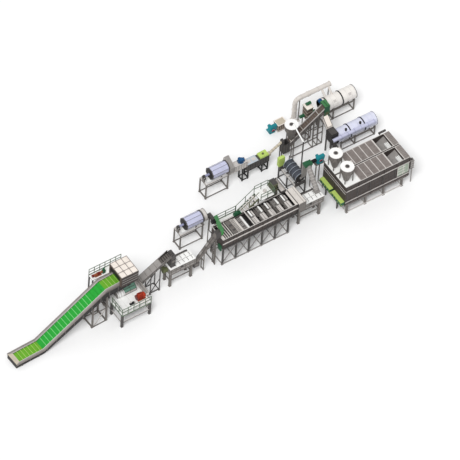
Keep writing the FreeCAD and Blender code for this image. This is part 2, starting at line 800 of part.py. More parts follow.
def lift():
    """First trough conveyor, its stand, its cross trough and its head chute."""
    climb = "lift_rise"
    pieces = [sloped("0", "0", "lift_low", "lift_long", "lift_wide", "sheet_wall", climb)]
    for side in ("0", "lift_wide - sheet_wall"):
        pieces.append(sloped("0", side, "lift_low", "lift_long", "sheet_wall", "lift_deep", climb))
    lid = "lift_long * 0.68"
    pieces.append(sloped("0", "0", "lift_low + lift_deep - sheet_wall", lid, "lift_wide", "sheet_wall",
                         f"{climb} * 0.68"))
    pieces.append(box("-sheet_wall", "0", "lift_low", "sheet_wall", "lift_wide", "lift_deep"))
    top = "lift_low + lift_rise"
    pieces.append(box("lift_long", "0", "chute_low", "chute_long", "lift_wide",
                      f"{top} + sheet_wall - chute_low"))
    pieces.append(rod("y", "lift_long + chute_long / 2", "0", top, "chute_long / 2", "lift_wide"))
    node("lift_conveyor", pieces, "lift_x", "lift_y")

    slope = "lift_rise / lift_long"
    pieces = []
    for at in range(2):
        x = f"lift_leg_first + {at} * lift_leg_pitch"
        reach = f"lift_low + ({x}) * {slope}"
        for side in ("-slim_bar", "lift_wide"):
            pieces.append(box(x, side, "0", "slim_bar", "slim_bar", f"{reach} + lift_deep / 2"))
        pieces.append(box(x, "-slim_bar", f"{reach} - slim_bar - seat", "slim_bar",
                          "lift_wide + 2 * slim_bar", "slim_bar"))
        pieces.append(box(x, "-slim_bar", "0", "slim_bar", "lift_wide + 2 * slim_bar", "slim_bar"))
    for side in ("-slim_bar", "lift_wide"):
        pieces.append(box("lift_leg_first", side, "slim_bar * 2", "lift_leg_pitch", "slim_bar", "slim_bar"))
        pieces.append(sloped("lift_leg_first + slim_bar", side, "slim_bar * 3", "lift_leg_pitch - slim_bar",
                             "slim_bar", "slim_bar", "lift_low * 0.7"))
    node("lift_stand", pieces, "lift_x", "lift_y")

    front = "lift_wide - cross_long"
    pieces = [box("-sheet_wall - cross_wide", front, "lift_low", "cross_wide", "cross_long", "sheet_wall")]
    for x in ("-sheet_wall - cross_wide", "-2 * sheet_wall"):
        pieces.append(box(x, front, "lift_low", "sheet_wall", "cross_long", "cross_deep"))
    for y in (front, "lift_wide - sheet_wall"):
        pieces.append(box("-sheet_wall - cross_wide", y, "lift_low", "cross_wide", "sheet_wall",
                          "cross_deep"))
    for y in (f"{front} + slim_bar", "0"):
        pieces.append(box("-sheet_wall - slim_bar", y, "0", "slim_bar", "slim_bar", "lift_low"))
    node("cross_trough", pieces, "lift_x", "lift_y")


def float_tank(name, x, end_motor):
    """Float tank on thick legs with side rails, a rear feed beam and, on the first, a motor at its end."""
    low = "float_top - float_deep"
    pieces = [box("0", "0", low, "float_long", "float_wide", "float_deep")]
    for level in ("float_top - slim_bar * 1.5", "float_top - float_deep / 2", low):
        pieces.append(box("0", "-slim_bar / 2", level, "float_long", "slim_bar / 2", "slim_bar / 2"))
    pieces.append(box("float_long * 0.28", "float_wide", "float_top - frame_bar / 2", "float_long * 0.6",
                      "frame_bar * 1.5", "frame_bar * 1.5"))
    pieces.append(rod("x", "float_long * 0.88", "float_wide + frame_bar * 0.75",
                      "float_top + frame_bar / 4", "frame_bar * 0.9", "frame_bar"))
    for at in range(2):
        spot = f"{at} * float_leg_pitch"
        for side in ("0", "float_wide - float_leg"):
            pieces.append(box(spot, side, "0", "float_leg", "float_leg", low))
        pieces.append(box(spot, "0", "float_brace", "slim_bar", "float_wide", "slim_bar"))
    for side in ("0", "float_wide - slim_bar"):
        pieces.append(box("0", side, "float_brace", "float_leg_pitch", "slim_bar", "slim_bar"))
    if end_motor:
        pieces.append(rod("x", "-float_motor", "float_wide / 2", "float_top - float_deep / 2",
                          "float_motor / 2", "float_motor"))
        pieces.append(box("-float_motor", "float_wide / 2", "float_top - float_deep / 2",
                          "float_motor * 0.6", "float_motor * 0.7",
                          "float_motor * 0.6"))
    node(name, pieces, x, "float_y")


def lift_screw():
    """Inclined screw that lifts flakes from the first float tank to the washing tank."""
    radius = "screw_wide / 2"
    rise = "screw_top - screw_low"
    pieces = [slant("x", "0", "0", "screw_low", radius, "screw_reach", rise)]
    pieces.append(box("-screw_box / 2", f"-{radius} - seat", "screw_box_low", "screw_box",
                      "screw_wide + 2 * seat", "screw_box"))
    pieces.append(rod("x", "-screw_box * 0.65", "0", "screw_box_low + screw_box / 2", "screw_box * 0.28",
                      "screw_box * 0.15"))
    head = "screw_reach - screw_wide * 0.4"
    spout = "tank_top + seat"
    pieces.append(box(head, f"-{radius} - seat", spout, "screw_spout", "screw_wide + 2 * seat",
                      f"screw_top - {spout} + {radius}"))
    for share in (0.35, 0.92):
        x = f"screw_reach * {share}"
        for side in (f"-{radius}", f"{radius} - slim_bar"):
            pieces.append(box(x, side, "0", "slim_bar", "slim_bar", f"screw_low + ({rise}) * {share}"))
        for level in ("slim_bar", f"screw_low * 0.9"):
            pieces.append(box(x, f"-{radius}", level, "slim_bar", "screw_wide", "slim_bar"))
    post = "screw_stand_x - slim_bar * 2"
    for y in ("0", "screw_stand_wide - slim_bar"):
        pieces.append(box(post, y, "0", "slim_bar", "slim_bar", spout))
    for level in ("slim_bar", "screw_low", f"{spout} - slim_bar"):
        pieces.append(box(post, "0", level, "slim_bar", "screw_stand_wide", "slim_bar"))
    node("lift_screw", pieces, "screw_x", "screw_y")

    side = f"{head} + screw_spout"
    low = f"screw_top - {radius} * 1.2"
    pieces = [leaning(side, f"-{radius}", low, "screw_guard_wide", "screw_guard_deep", "screw_guard_thick",
                      "screw_guard_rise")]
    pieces.append(rod("x", f"{side} - screw_motor", f"screw_guard_deep - {radius} - screw_motor / 2",
                      f"{low} + screw_guard_rise", "screw_motor / 2", "screw_motor"))
    node("belt_guard", pieces, "screw_x", "screw_y")


def wash_drum(name, x, y):
    """Octagonal wash drum on its tall stand, with shaft, tray and discharge cap."""
    high = "drum_lead + drum_long - frame_bar * 1.5"
    stations = ("0", high)
    pieces = table_frame("stand_long", "stand_wide", "stand_top", "frame_bar", stations, "slim_bar")
    middle = "stand_wide / 2"
    for side in ("0", "stand_wide - frame_bar"):
        pieces.append(box(high, side, "0", "frame_bar", "frame_bar", "stand_high_end"))
    pieces.append(box(high, "0", "stand_top", "frame_bar", "stand_wide", "frame_bar * 2"))
    bearing = "drum_shaft * 1.6"
    pieces.append(box("0", f"{middle} - {bearing}", "stand_top", "frame_bar", f"{bearing} * 2",
                      "drum_middle - stand_top - drum_shaft - seat"))
    tray = "drum_middle - drum_radius * 1.06 - seat"
    pieces.append(hopper("drum_lead / 2", f"{middle} - drum_radius * 0.6", "stand_top - frame_bar",
                         "drum_long",
                         "drum_radius * 1.2", f"({tray} - stand_top) * 0.6 + frame_bar", "frame_bar", "frame_bar"))
    pieces.append(box("0", f"{middle} - frame_bar / 2", "stand_top - frame_bar", "stand_long", "frame_bar",
                      "frame_bar"))
    drum = prism("x", "frame_bar * 2", middle, "drum_middle", "drum_radius * 1.06 + seat",
                 "drum_long + drum_lead", 8)
    node(f"drum_stand_{name}", [cut(fused(pieces), [drum])], x, y)

    pieces = [prism("x", "drum_lead", middle, "drum_middle", "drum_radius", "drum_long", 8)]
    for at in ("drum_lead", "drum_lead + drum_long - frame_bar"):
        pieces.append(prism("x", at, middle, "drum_middle", "drum_radius * 1.06", "frame_bar", 8))
    pieces.append(rod("x", "0", middle, "drum_middle", "drum_shaft", "drum_lead"))
    node(f"wash_drum_{name}", pieces, x, y)


def drum_caps():
    """Discharge ends: a round cap on the first drum, a sloped hood on the second."""
    end = "drum_lead + drum_long"
    middle = "stand_wide / 2"
    pieces = [prism("x", end, middle, "drum_middle", "drum_radius", "drum_cap", ROUND_SIDES)]
    low = "outlet_low"
    pieces.append(box(f"{end} + frame_bar", f"{middle} - outlet_wide / 2", low, "frame_bar * 2",
                      "outlet_wide",
                      f"drum_middle - {low}"))
    pieces.append(box(f"{end} + frame_bar", f"{middle} - outlet_wide / 2", low, "outlet_long",
                      "outlet_wide", "outlet_tall"))
    pieces.append(box(f"{end} + outlet_long - frame_bar", f"{middle} - frame_bar / 2", "0", "frame_bar",
                      "frame_bar", low))
    front = "tank_y + tank_wide + rail + seat - drum_one_y"
    pieces.append(box(f"{end} + frame_bar + outlet_long - outlet_wide", front, low, "outlet_wide",
                      f"{middle} - ({front})",
                      "outlet_tall"))
    side = "drum_two_y - drum_one_y"
    second = roofed(f"drum_two_x - drum_one_x + {end}", f"{side} + {middle} - drum_radius",
                    "drum_middle - drum_radius",
                    "drum_cap * 1.5", "drum_radius * 2", "drum_radius * 1.1", "drum_radius * 2")
    node("drum_outlets", [fused(pieces), second], "drum_one_x", "drum_one_y", apart=True)




def wash_tank():
    """Long open washing tank with its partition, deck pieces, end cover and frame."""
    inner = "tank_wide - 2 * tank_wall"
    hollow = box("tank_wall", "tank_wall", "tank_low + tank_wall", "tank_long - 2 * tank_wall", inner,
                 "tank_top - tank_low")
    shell = cut(box("0", "0", "tank_low", "tank_long", "tank_wide", "tank_top - tank_low"), [hollow])
    pieces = [shell]
    pieces.append(box("tank_split", "0", "tank_low", "tank_wall * 2", "tank_wide", "tank_top - tank_low"))
    pieces.append(box("0", "-rail", "tank_rail", "tank_long", "rail", "rail * 2"))
    for at in range(6):
        pieces.append(box(f"{at} * tank_leg_pitch + slim_bar", "-rail", "tank_low", "slim_bar", "rail",
                          "tank_top - tank_low"))
    pieces.append(box("0", "tank_wide", "tank_top - slim_bar", "tank_long", "rail", "slim_bar"))
    pieces.append(box("tank_motor_x", "tank_wide - tank_wall", "tank_top", "tank_motor", "tank_wall + rail",
                      "slim_bar"))
    pieces.append(rod("x", "tank_motor_x - tank_motor * 0.3", "tank_wide", "tank_top + tank_motor * 0.3",
                      "tank_motor * 0.3",
                      "tank_motor * 1.4"))
    pieces.append(box("tank_motor_x", "tank_wide - tank_motor * 0.2", "tank_top + tank_motor * 0.3",
                      "tank_motor * 0.5",
                      "tank_motor * 0.4", "tank_motor * 0.5"))
    pieces.append(box("-rail * 3", "frame_bar", "tank_low - frame_bar * 3", "rail * 3", "tank_wide * 0.25",
                      "tank_motor * 1.2"))
    node("wash_tank", pieces, "tank_x", "tank_y")

    pieces = []
    for at in range(8):
        pieces.append(box(f"tank_slat_first + {at} * tank_slat_pitch", "tank_wall", "tank_slat_top - rail",
                          "slim_bar", inner, "rail"))
    for side in ("tank_wall", "tank_wide - tank_wall - slim_bar"):
        pieces.append(box("tank_wall", side, "tank_slat_top - rail * 2", "tank_split - tank_wall",
                          "slim_bar", "rail"))
    pieces.append(box("tank_box_x", "tank_wall", "tank_slat_top - tank_box", "tank_box", inner, "tank_box"))
    for at in range(4):
        spot = f"tank_box_x + tank_box + {at + 0.5} * tank_slat_pitch"
        pieces.append(box(spot, "tank_wall", "tank_slat_top - rail * 2", "rail", inner, "rail"))
    pieces.append(box("tank_split - tank_panel - slim_bar", "tank_wall", "tank_slat_top - tank_box",
                      "tank_panel", inner, "slim_bar"))
    for side in ("tank_wall", "tank_wide - tank_wall - slim_bar"):
        pieces.append(box("tank_split - tank_panel - slim_bar", side, "tank_slat_top - tank_box",
                          "slim_bar", "slim_bar",
                          "tank_box - rail"))
    node("tank_deck", pieces, "tank_x", "tank_y")

    pieces = [box("tank_long", "-slim_bar", "tank_low", "cover_long", "tank_wide + 2 * slim_bar",
                  "tank_top - tank_low")]
    pieces.append(box("tank_long", "-slim_bar * 2", "tank_low", "slim_bar", "slim_bar",
                      "tank_top - tank_low"))
    node("tank_cover", pieces, "tank_x", "tank_y")

    pieces = []
    for at in range(6):
        x = f"tank_leg_lead + {at} * tank_leg_pitch"
        for side in ("-rail", "tank_wide - tank_leg + rail"):
            pieces.append(box(x, side, "0", "tank_leg", "tank_leg", "tank_low"))
        pieces.append(box(x, "-rail", "tank_low - tank_leg", "tank_leg", "tank_wide + 2 * rail",
                          "tank_leg"))
        pieces.append(box(x, "-rail", "frame_bar", "slim_bar", "tank_wide + 2 * rail", "slim_bar"))
    run = "5 * tank_leg_pitch"
    for side in ("-rail", "tank_wide - tank_leg + rail"):
        pieces.append(box("tank_leg_lead", side, "tank_low - tank_leg", "tank_long - 2 * tank_leg_lead",
                          "tank_leg", "tank_leg"))
        pieces.append(box("tank_leg_lead", side, "frame_bar", run, "slim_bar", "slim_bar"))
    for at in range(5):
        x = f"tank_leg_lead + tank_leg + {at} * tank_leg_pitch"
        reach = "tank_leg_pitch - tank_leg"
        pieces.append(sloped(x, "-rail", "tank_brace", reach, "slim_bar", "slim_bar",
                             "tank_low - tank_leg - tank_brace - slim_bar"))
    node("tank_frame", pieces, "tank_x", "tank_y")


def paddle(at):
    """Paddle wheel across the tank: flat blades on a shaft, staggered in two halves."""
    middle = f"tank_split + tank_bay_first + {at} * tank_bay"
    pieces = [rod("y", middle, "tank_wall", "paddle_middle", "paddle_hub", "tank_wide - 2 * tank_wall")]
    half = "(tank_wide / 2 - tank_wall - 2 * paddle_gap)"
    for row, start in enumerate(("tank_wall + paddle_gap", "tank_wide / 2 + paddle_gap")):
        for turn in range(3):
            angle = f"({turn * 60 + row * 30} + {at * 20}) * 1deg"
            blade = document.addObject("Part::Box", "Blade")
            bind(blade, Length="2 * paddle_reach", Width=half, Height="paddle_blade")
            place(blade, f"{middle} - paddle_reach * cos({angle})", start,
                  f"paddle_middle + paddle_reach * sin({angle})")
            blade.Placement.Rotation = FreeCAD.Rotation(FreeCAD.Vector(0, 1, 0), 1)
            bind(blade, Placement_Rotation_Angle=angle)
            pieces.append(blade)
    return fused(pieces)


def paddle_wheels():
    """The row of paddle wheels that push flakes along the second half of the tank."""
    node("paddle_wheels", [paddle(at) for at in range(5)], "tank_x", "tank_y", apart=True)


def walkway():
    """Narrow walkway behind the tank, its stair, the landing and the bucket elevator."""
    pieces = [box("0", "0", "walk_top - slim_bar", "walk_long", "walk_wide", "slim_bar")]
    pieces += railing_x("0", "walk_wide - rail", "walk_top", "walk_long", 3)
    for x in ("0", "walk_long / 2", "walk_long - slim_bar"):
        pieces.append(box(x, "walk_wide - slim_bar", "0", "slim_bar", "slim_bar", "walk_top - slim_bar"))
        pieces.append(box(x, "0", "0", "slim_bar", "slim_bar", "walk_top - slim_bar"))
        pieces.append(box(x, "0", "frame_bar", "slim_bar", "walk_wide", "slim_bar"))
    for side in ("0", "walk_wide - slim_bar"):
        pieces.append(box("0", side, "frame_bar", "walk_long", "slim_bar", "slim_bar"))
        pieces.append(box("0", side, "walk_top / 2", "walk_long", "slim_bar", "slim_bar"))
    node("walkway", pieces, "walk_x - seat", "walk_y")

    pieces = []
    climb = "landing_top - walk_top"
    for side in ("0", "walk_wide - rail"):
        pieces.append(sloped("0", side, "walk_top - stair_string", "stair_run", "rail", "stair_string",
                             climb))
        pieces.append(sloped("0", side, "walk_top + rail_height - rail", "stair_run", "rail", "rail",
                             climb))
        pieces.append(box("0", side, "walk_top - stair_string", "rail", "rail",
                          "rail_height + stair_string - rail"))
        pieces.append(box("stair_run / 2", side, f"walk_top + ({climb}) / 2 - rail", "rail", "rail",
                          "rail_height"))
    for at in range(6):
        x = f"(stair_run - stair_tread) * {at + 0.5} / stair_steps"
        z = f"walk_top + ({climb}) * {at + 0.5} / stair_steps - stair_string / 2"
        pieces.append(box(x, "0", z, "stair_tread", "walk_wide", "rail"))
    stair = fused(pieces)
    place(stair, "-stair_run - seat", "walk_y - landing_y", "0")

    pieces = [box("0", "0", "landing_top - slim_bar", "landing_long", "landing_wide", "slim_bar")]
    pieces += railing_x("0", "landing_wide - rail", "landing_top", "landing_long", 3)
    pieces += railing_x("0", "0", "landing_top", "landing_long", 3)
    pieces += railing_y("landing_long - rail", "0", "landing_top", "landing_wide", 2)
    for x in ("0", "landing_long - frame_bar"):
        pieces.append(box(x, "landing_wide - frame_bar", "0", "frame_bar", "frame_bar",
                          "landing_top - slim_bar"))
        pieces.append(box(x, "landing_wide / 2 - frame_bar * 2", "0", "frame_bar", "frame_bar",
                          "landing_top - slim_bar"))
        pieces.append(box(x, "landing_wide / 2 - frame_bar * 2", "frame_bar", "slim_bar",
                          "landing_wide / 2 + frame_bar * 2", "slim_bar"))
    pieces.append(box("0", "landing_wide - frame_bar", "frame_bar", "landing_long", "slim_bar", "slim_bar"))
    pieces.append(box("0", "landing_wide - frame_bar", "walk_top", "landing_long", "slim_bar", "slim_bar"))
    pieces.append(box("landing_long / 2", "landing_wide / 2", "landing_top", "landing_box", "landing_box",
                      "landing_box * 1.5"))
    node("stair_landing", [stair, fused(pieces)], "walk_x + walk_long + stair_run", "landing_y", apart=True)

    pieces = [box("0", "0", "0", "elevator_long", "elevator_wide", "elevator_top")]
    pieces.append(box("-rail", "-rail", "0", "elevator_long + 2 * rail", "elevator_wide + 2 * rail",
                      "frame_bar * 3"))
    pieces.append(box("-rail", "-rail", "elevator_top - frame_bar * 6", "elevator_long + 2 * rail",
                      "elevator_wide + 2 * rail",
                      "slim_bar"))
    for at in (0.25, 0.75):
        pieces.append(rod("y", f"elevator_long * {at}", "-frame_bar", "elevator_top - frame_bar * 3",
                          "slim_bar", "frame_bar"))
    node("elevator", pieces, "elevator_x", "elevator_y")

    pieces = [box("0", "0", "transfer_low", "transfer_wide", "transfer_long", "sheet_wall")]
    for x in ("0", "transfer_wide - sheet_wall"):
        pieces.append(box(x, "0", "transfer_low", "sheet_wall", "transfer_long", "cross_deep"))
    for y in ("0", "transfer_long - sheet_wall"):
        pieces.append(box("0", y, "transfer_low", "transfer_wide", "sheet_wall", "cross_deep"))
    for x in ("0", "transfer_wide - slim_bar"):
        pieces.append(box(x, "transfer_long - frame_bar * 2", "0", "slim_bar", "slim_bar", "transfer_low"))
        pieces.append(box(x, "transfer_long / 2", "0", "slim_bar", "slim_bar", "transfer_low"))
        pieces.append(box(x, "transfer_long / 2", "frame_bar", "slim_bar",
                          "transfer_long / 2 - frame_bar * 2", "slim_bar"))
    node("transfer_trough", pieces, "transfer_x", "transfer_y")


def rinse():
    """Rinse drum that lies across the line, on its frame, with the tube screw that fills it."""
    pieces = []
    for y in ("0", "rinse_long / 2 - frame_bar / 2", "rinse_long - frame_bar"):
        for x in ("0", "rinse_wide - frame_bar"):
            pieces.append(box(x, y, "0", "frame_bar", "frame_bar", "rinse_frame_top"))
        pieces.append(box("0", y, "rinse_frame_top - frame_bar", "rinse_wide", "frame_bar", "frame_bar"))
        pieces.append(box("0", y, "frame_bar", "rinse_wide", "slim_bar", "slim_bar"))
    for x in ("0", "rinse_wide - frame_bar"):
        pieces.append(box(x, "0", "rinse_frame_top - frame_bar", "frame_bar", "rinse_long", "frame_bar"))
        pieces.append(box(x, "0", "frame_bar", "slim_bar", "rinse_long", "slim_bar"))
        for y in ("0", "rinse_long - frame_bar"):
            pieces.append(box(x, y, "rinse_frame_top", "slim_bar", "slim_bar",
                              "rinse_post - rinse_frame_top"))
    low = f"rinse_middle - rinse_radius * cos({180 / ROUND_SIDES}deg) - seat - rinse_frame_top"
    for y in ("0", "rinse_long - rinse_guard - frame_bar"):
        pieces.append(box("frame_bar", y, "rinse_frame_top - frame_bar", "rinse_wide - 2 * frame_bar",
                          "frame_bar", f"{low} + frame_bar"))
    pieces.append(box("-rinse_guard", "rinse_long - rinse_guard * 1.6", "rinse_post - rinse_guard",
                      "rinse_guard * 2",
                      "rinse_guard", "rinse_guard * 3.5"))
    pieces.append(box("-rinse_guard / 2", "rinse_long - rinse_guard * 1.6", "rinse_frame_top",
                      "rinse_guard / 2", "rinse_guard",
                      "rinse_post - rinse_guard - rinse_frame_top"))
    pieces.append(box("-rinse_guard / 2", "rinse_long - rinse_guard * 1.6", "rinse_frame_top - frame_bar",
                      "rinse_guard",
                      "rinse_guard", "frame_bar"))
    node("rinse_frame", pieces, "rinse_x", "rinse_y")

    middle = "rinse_wide / 2"
    pieces = [prism("y", middle, "rinse_drum_start", "rinse_middle", "rinse_radius - rinse_ring",
                    "rinse_drum_long", ROUND_SIDES)]
    for at in range(5):
        y = f"rinse_drum_start + (rinse_drum_long - frame_bar) * {at} / 4"
        pieces.append(prism("y", middle, y, "rinse_middle", "rinse_radius", "frame_bar", ROUND_SIDES))
    for end in ("0", "rinse_drum_start + rinse_drum_long"):
        pieces.append(rod("y", middle, end, "rinse_middle", "rinse_radius * 0.2", "rinse_drum_start"))
    node("rinse_drum", pieces, "rinse_x", "rinse_y")

    rise = "tube_top - tube_low"
    pieces = [slant("y", "0", "0", "tube_low", "tube_wide / 2", "tube_reach", rise)]
    pieces.append(box("-tube_wide / 2", "-tube_wide / 2", "float_top + seat", "tube_wide", "tube_wide",
                      "tube_low - float_top"))
    pieces.append(box("-tube_wide * 0.8", "tube_reach - tube_wide / 2", "tube_top - tube_wide * 0.1",
                      "tube_wide * 1.6", "tube_wide",
                      "tube_wide * 0.6"))
    pieces.append(rod("x", "tube_wide * 0.8", "tube_reach", "tube_top + tube_wide * 0.2",
                      "tube_wide * 0.28", "tube_wide"))
    spout = "rinse_middle + tube_wide / 4"
    pieces.append(box("-tube_wide * 0.7", "tube_reach + tube_wide / 2 - sheet_wall", spout, "tube_wide",
                      "tube_spout",
                      f"tube_top + tube_wide * 0.1 - ({spout})"))
    node("tube_screw", pieces, "tube_x", "tube_y")


def press():
    """Feed channel, screw press on its frame, and the narrow screw that leaves it."""
    pieces = [box("0", "0", "channel_low", "channel_long", "channel_wide",
                  "channel_step - channel_low - seat")]
    pieces.append(box("channel_lead", "0", "channel_low", "channel_long - channel_lead", "channel_wide",
                      "channel_tall"))
    for side in ("0", "channel_wide - rail"):
        pieces.append(box("channel_lead", side, "channel_low + channel_tall", "channel_long - channel_lead",
                          "rail", "rail"))
    top = "channel_low + channel_tall"
    bracket = "channel_lead + press_motor * 1.5"
    pieces.append(box(bracket, "0", top, "press_motor * 0.9", "channel_wide", "frame_bar"))
    pieces.append(rod("x", "channel_lead + press_motor * 1.2", "channel_wide * 0.4",
                      f"{top} + frame_bar + press_motor * 0.45",
                      "press_motor / 2", "press_motor * 1.5"))
    pieces.append(box(bracket, "channel_wide * 0.4", f"{top} + frame_bar + press_motor / 2",
                      "press_motor / 2", "press_motor * 0.7",
                      "press_motor / 2"))
    node("press_channel", pieces, "press_x", "press_y")

    pieces = [box("channel_long", "0", "press_low", "press_long", "press_wide", "press_tall")]
    for at in range(5):
        x = f"channel_long + (press_long - slim_bar) * {at} / 4"
        pieces.append(box(x, "-rail", "press_low", "slim_bar", "press_wide + 2 * rail", "press_tall"))
    pieces.append(box("channel_long", "-rail", "press_low + press_tall", "press_long * 0.5",
                      "press_wide + 2 * rail", "slim_bar"))
    pieces.append(box("channel_long + press_long * 0.6", "0", "press_low + press_tall", "press_box",
                      "press_wide", "press_box * 0.2"))
    node("screw_press", pieces, "press_x", "press_y")

    pieces = []
    for at in range(2):
        for step in ("0", "press_leg_gap"):
            x = f"press_leg_first + {at} * press_leg_pitch + {step}"
            tall = "channel_low" if at == 0 and step == "0" else "press_low"
            for side in ("0", "press_wide - frame_bar"):
                pieces.append(box(x, side, "0", "frame_bar", "frame_bar", tall))
            pieces.append(box(x, "0", f"{tall} - frame_bar", "frame_bar", "press_wide", "frame_bar"))
            pieces.append(box(x, "0", "frame_bar", "frame_bar", "press_wide", "slim_bar"))
    for side in ("0", "press_wide - slim_bar"):
        for at in range(2):
            x = f"press_leg_first + {at} * press_leg_pitch"
            pieces.append(box(x, side, "frame_bar", "press_leg_gap", "slim_bar", "slim_bar"))
        pieces.append(box("press_leg_first + frame_bar", side, "press_low - frame_bar",
                          "press_leg_pitch + press_leg_gap", "slim_bar",
                          "frame_bar"))
    node("press_frame", pieces, "press_x", "press_y")

    start = "channel_long + press_long"
    middle = "narrow_wide"
    lift = "narrow_low + narrow_wide / 2"
    pieces = [slant("x", f"{start} + narrow_wide / 2", middle, lift, "narrow_wide / 2", "narrow_reach",
                    "narrow_rise")]
    pieces.append(box(start, "narrow_wide / 2 - rail", "narrow_low - rail", "narrow_wide",
                      "narrow_wide + 2 * rail", "narrow_wide + rail"))
    top = f"{start} + narrow_reach"
    pieces.append(box(f"{top} - narrow_wide / 2", "narrow_wide / 2 - rail", "narrow_low + narrow_rise",
                      "narrow_wide",
                      "narrow_wide + 2 * rail", "narrow_wide"))
    rim = "steep_low + steep_deep + seat"
    pieces.append(box("steep_x - press_x - rail", "narrow_wide / 2 - rail", rim, "narrow_wide / 2",
                      "narrow_wide + 2 * rail",
                      f"narrow_low + narrow_rise + rail - ({rim})"))
    for side in ("narrow_wide / 2 - rail", "narrow_wide * 1.5 + rail - slim_bar"):
        pieces.append(box(f"{top} - narrow_wide / 2", side, "0", "slim_bar", "slim_bar",
                          "narrow_low + narrow_rise"))
    pieces.append(box(f"{top} - narrow_wide / 2", "narrow_wide / 2 - rail", "frame_bar", "slim_bar",
                      "narrow_wide + 2 * rail", "slim_bar"))
    node("narrow_screw", pieces, "press_x", "press_y")


def steep():
    """Steep cleated conveyor with its boot, head box and legs, and the silo box beside it."""
    run = "steep_long - steep_boot"
    slope = f"steep_rise / ({run})"
    pieces = []
    for side in ("0", "steep_wide - steep_side"):
        pieces.append(sloped("steep_boot", side, "steep_low", run, "steep_side", "steep_deep",
                             "steep_rise"))
    pieces.append(sloped("steep_boot", "0", "steep_low", run, "steep_wide", "steep_deep - steep_drop",
                         "steep_rise"))
    for at in range(14):
        x = f"({run}) * ({at} + 0.5) / 14"
        z = f"steep_low + steep_deep - steep_drop + ({x}) * {slope}"
        pieces.append(sloped(f"steep_boot + {x}", "steep_side", z, "sheet_wall",
                             "steep_wide - 2 * steep_side", "steep_drop / 2",
                             f"sheet_wall * {slope}"))
    boot_deep = "steep_low + steep_deep - steep_boot_low"
    hollow = box("sheet_wall", "sheet_wall", "steep_boot_low + sheet_wall",
                 "steep_boot - sheet_wall - slim_bar",
                 "steep_wide - 2 * sheet_wall", boot_deep)
    pieces.append(cut(box("0", "0", "steep_boot_low", "steep_boot", "steep_wide", boot_deep), [hollow]))
    node("steep_conveyor", pieces, "steep_x", "steep_y")

    pieces = [box("steep_long - head_lap", "-head_side", "head_low", "head_long",
                  "steep_wide + 2 * head_side",
                  "head_top - head_low")]
    inside = box("steep_long - head_lap - head_side", "-seat", "steep_low", "head_lap + head_side + seat",
                 "steep_wide + 2 * seat",
                 "head_top - head_side - steep_low")
    run = "chute_high_y - chute_low_y"
    chute = leaning("chute_x - steep_x", "chute_low_y - steep_y", "chute_foot", "chute_broad", run,
                    "chute_thick", "chute_climb")
    drive = [rod("y", "steep_long", "steep_wide + head_side", "head_top - head_side * 3", "head_side * 2",
                 "head_drive")]
    drive.append(box("steep_long + head_side", "0", "head_top", "head_side * 2", "steep_wide", "head_side"))
    node("steep_head", [fused([cut(fused(pieces), [inside]), chute] + drive)], "steep_x", "steep_y")

    pieces = []
    for at in (0, 1, 2):
        x = f"steep_leg_first + {at} * steep_leg_pitch / 2"
        reach = f"steep_low + ({x} - steep_boot + frame_bar) * {slope} + frame_bar"
        for side in ("-slim_bar - seat", "steep_wide + seat"):
            pieces.append(box(x, side, "0", "slim_bar", "slim_bar", reach))
        low = f"steep_low + ({x} - steep_boot) * {slope} - slim_bar - seat"
        pieces.append(box(x, "-slim_bar - seat", low, "slim_bar", "steep_wide + 2 * slim_bar + 2 * seat",
                          "slim_bar"))
        pieces.append(box(x, "-slim_bar - seat", "0", "slim_bar", "steep_wide + 2 * slim_bar + 2 * seat",
                          "slim_bar"))
    for side in ("-slim_bar - seat", "steep_wide + seat"):
        for level in ("slim_bar", "steep_low", "steep_low * 1.5"):
            pieces.append(box("steep_leg_first", side, level, "steep_leg_pitch", "slim_bar", "slim_bar"))
    for side in ("-slim_bar - seat", "steep_wide + seat"):
        pieces.append(box("steep_boot + frame_bar", side, "0", "slim_bar", "slim_bar",
                          "steep_low + frame_bar * 2"))
    low = f"steep_low + frame_bar * {slope} - slim_bar - seat"
    pieces.append(box("steep_boot + frame_bar", "-slim_bar - seat", low, "slim_bar",
                      "steep_wide + 2 * slim_bar + 2 * seat", "slim_bar"))
    for side in ("-slim_bar - seat", "steep_wide + seat"):
        pieces.append(box("steep_boot + frame_bar", side, "slim_bar",
                          "steep_leg_first - steep_boot - frame_bar", "slim_bar", "slim_bar"))
    node("steep_stand", pieces, "steep_x", "steep_y")

    pieces = [box("0", "0", "silo_low", "silo_long", "silo_wide", "silo_top - silo_low")]
    pieces.append(box("-rail", "-rail", "silo_top - slim_bar", "silo_long + 2 * rail",
                      "silo_wide + 2 * rail", "slim_bar"))
    for x in ("0", "silo_long - slim_bar"):
        for y in ("0", "silo_wide - slim_bar"):
            pieces.append(box(x, y, "0", "slim_bar", "slim_bar", "silo_low"))
        pieces.append(box(x, "0", "frame_bar", "slim_bar", "silo_wide", "slim_bar"))
        pieces.append(box(x, "0", "silo_low / 2", "slim_bar", "silo_wide", "slim_bar"))
    for y in ("0", "silo_wide - slim_bar"):
        pieces.append(box("0", y, "frame_bar", "silo_long", "slim_bar", "slim_bar"))
        pieces.append(box("0", y, "silo_low / 2", "silo_long", "slim_bar", "slim_bar"))
    pieces.append(rod("x", "silo_long", "silo_wide / 2", "silo_low + silo_motor", "silo_motor / 2",
                      "silo_motor * 1.6"))
    pieces.append(rod("x", "-silo_motor * 1.4", "silo_wide * 0.6", "silo_low + silo_motor",
                      "silo_motor / 2", "silo_motor * 1.4"))
    pieces.append(rod("x", "silo_long * 0.3", "silo_wide * 0.7", "silo_top + silo_motor * 0.4",
                      "silo_motor / 2", "silo_motor * 1.5"))
    tie = "steep_y + steep_wide + slim_bar + 2 * seat - silo_y"
    pieces.append(box("slim_bar", tie, "silo_low / 2", "slim_bar", f"-({tie})", "slim_bar"))
    node("silo_box", pieces, "silo_x", "silo_y")


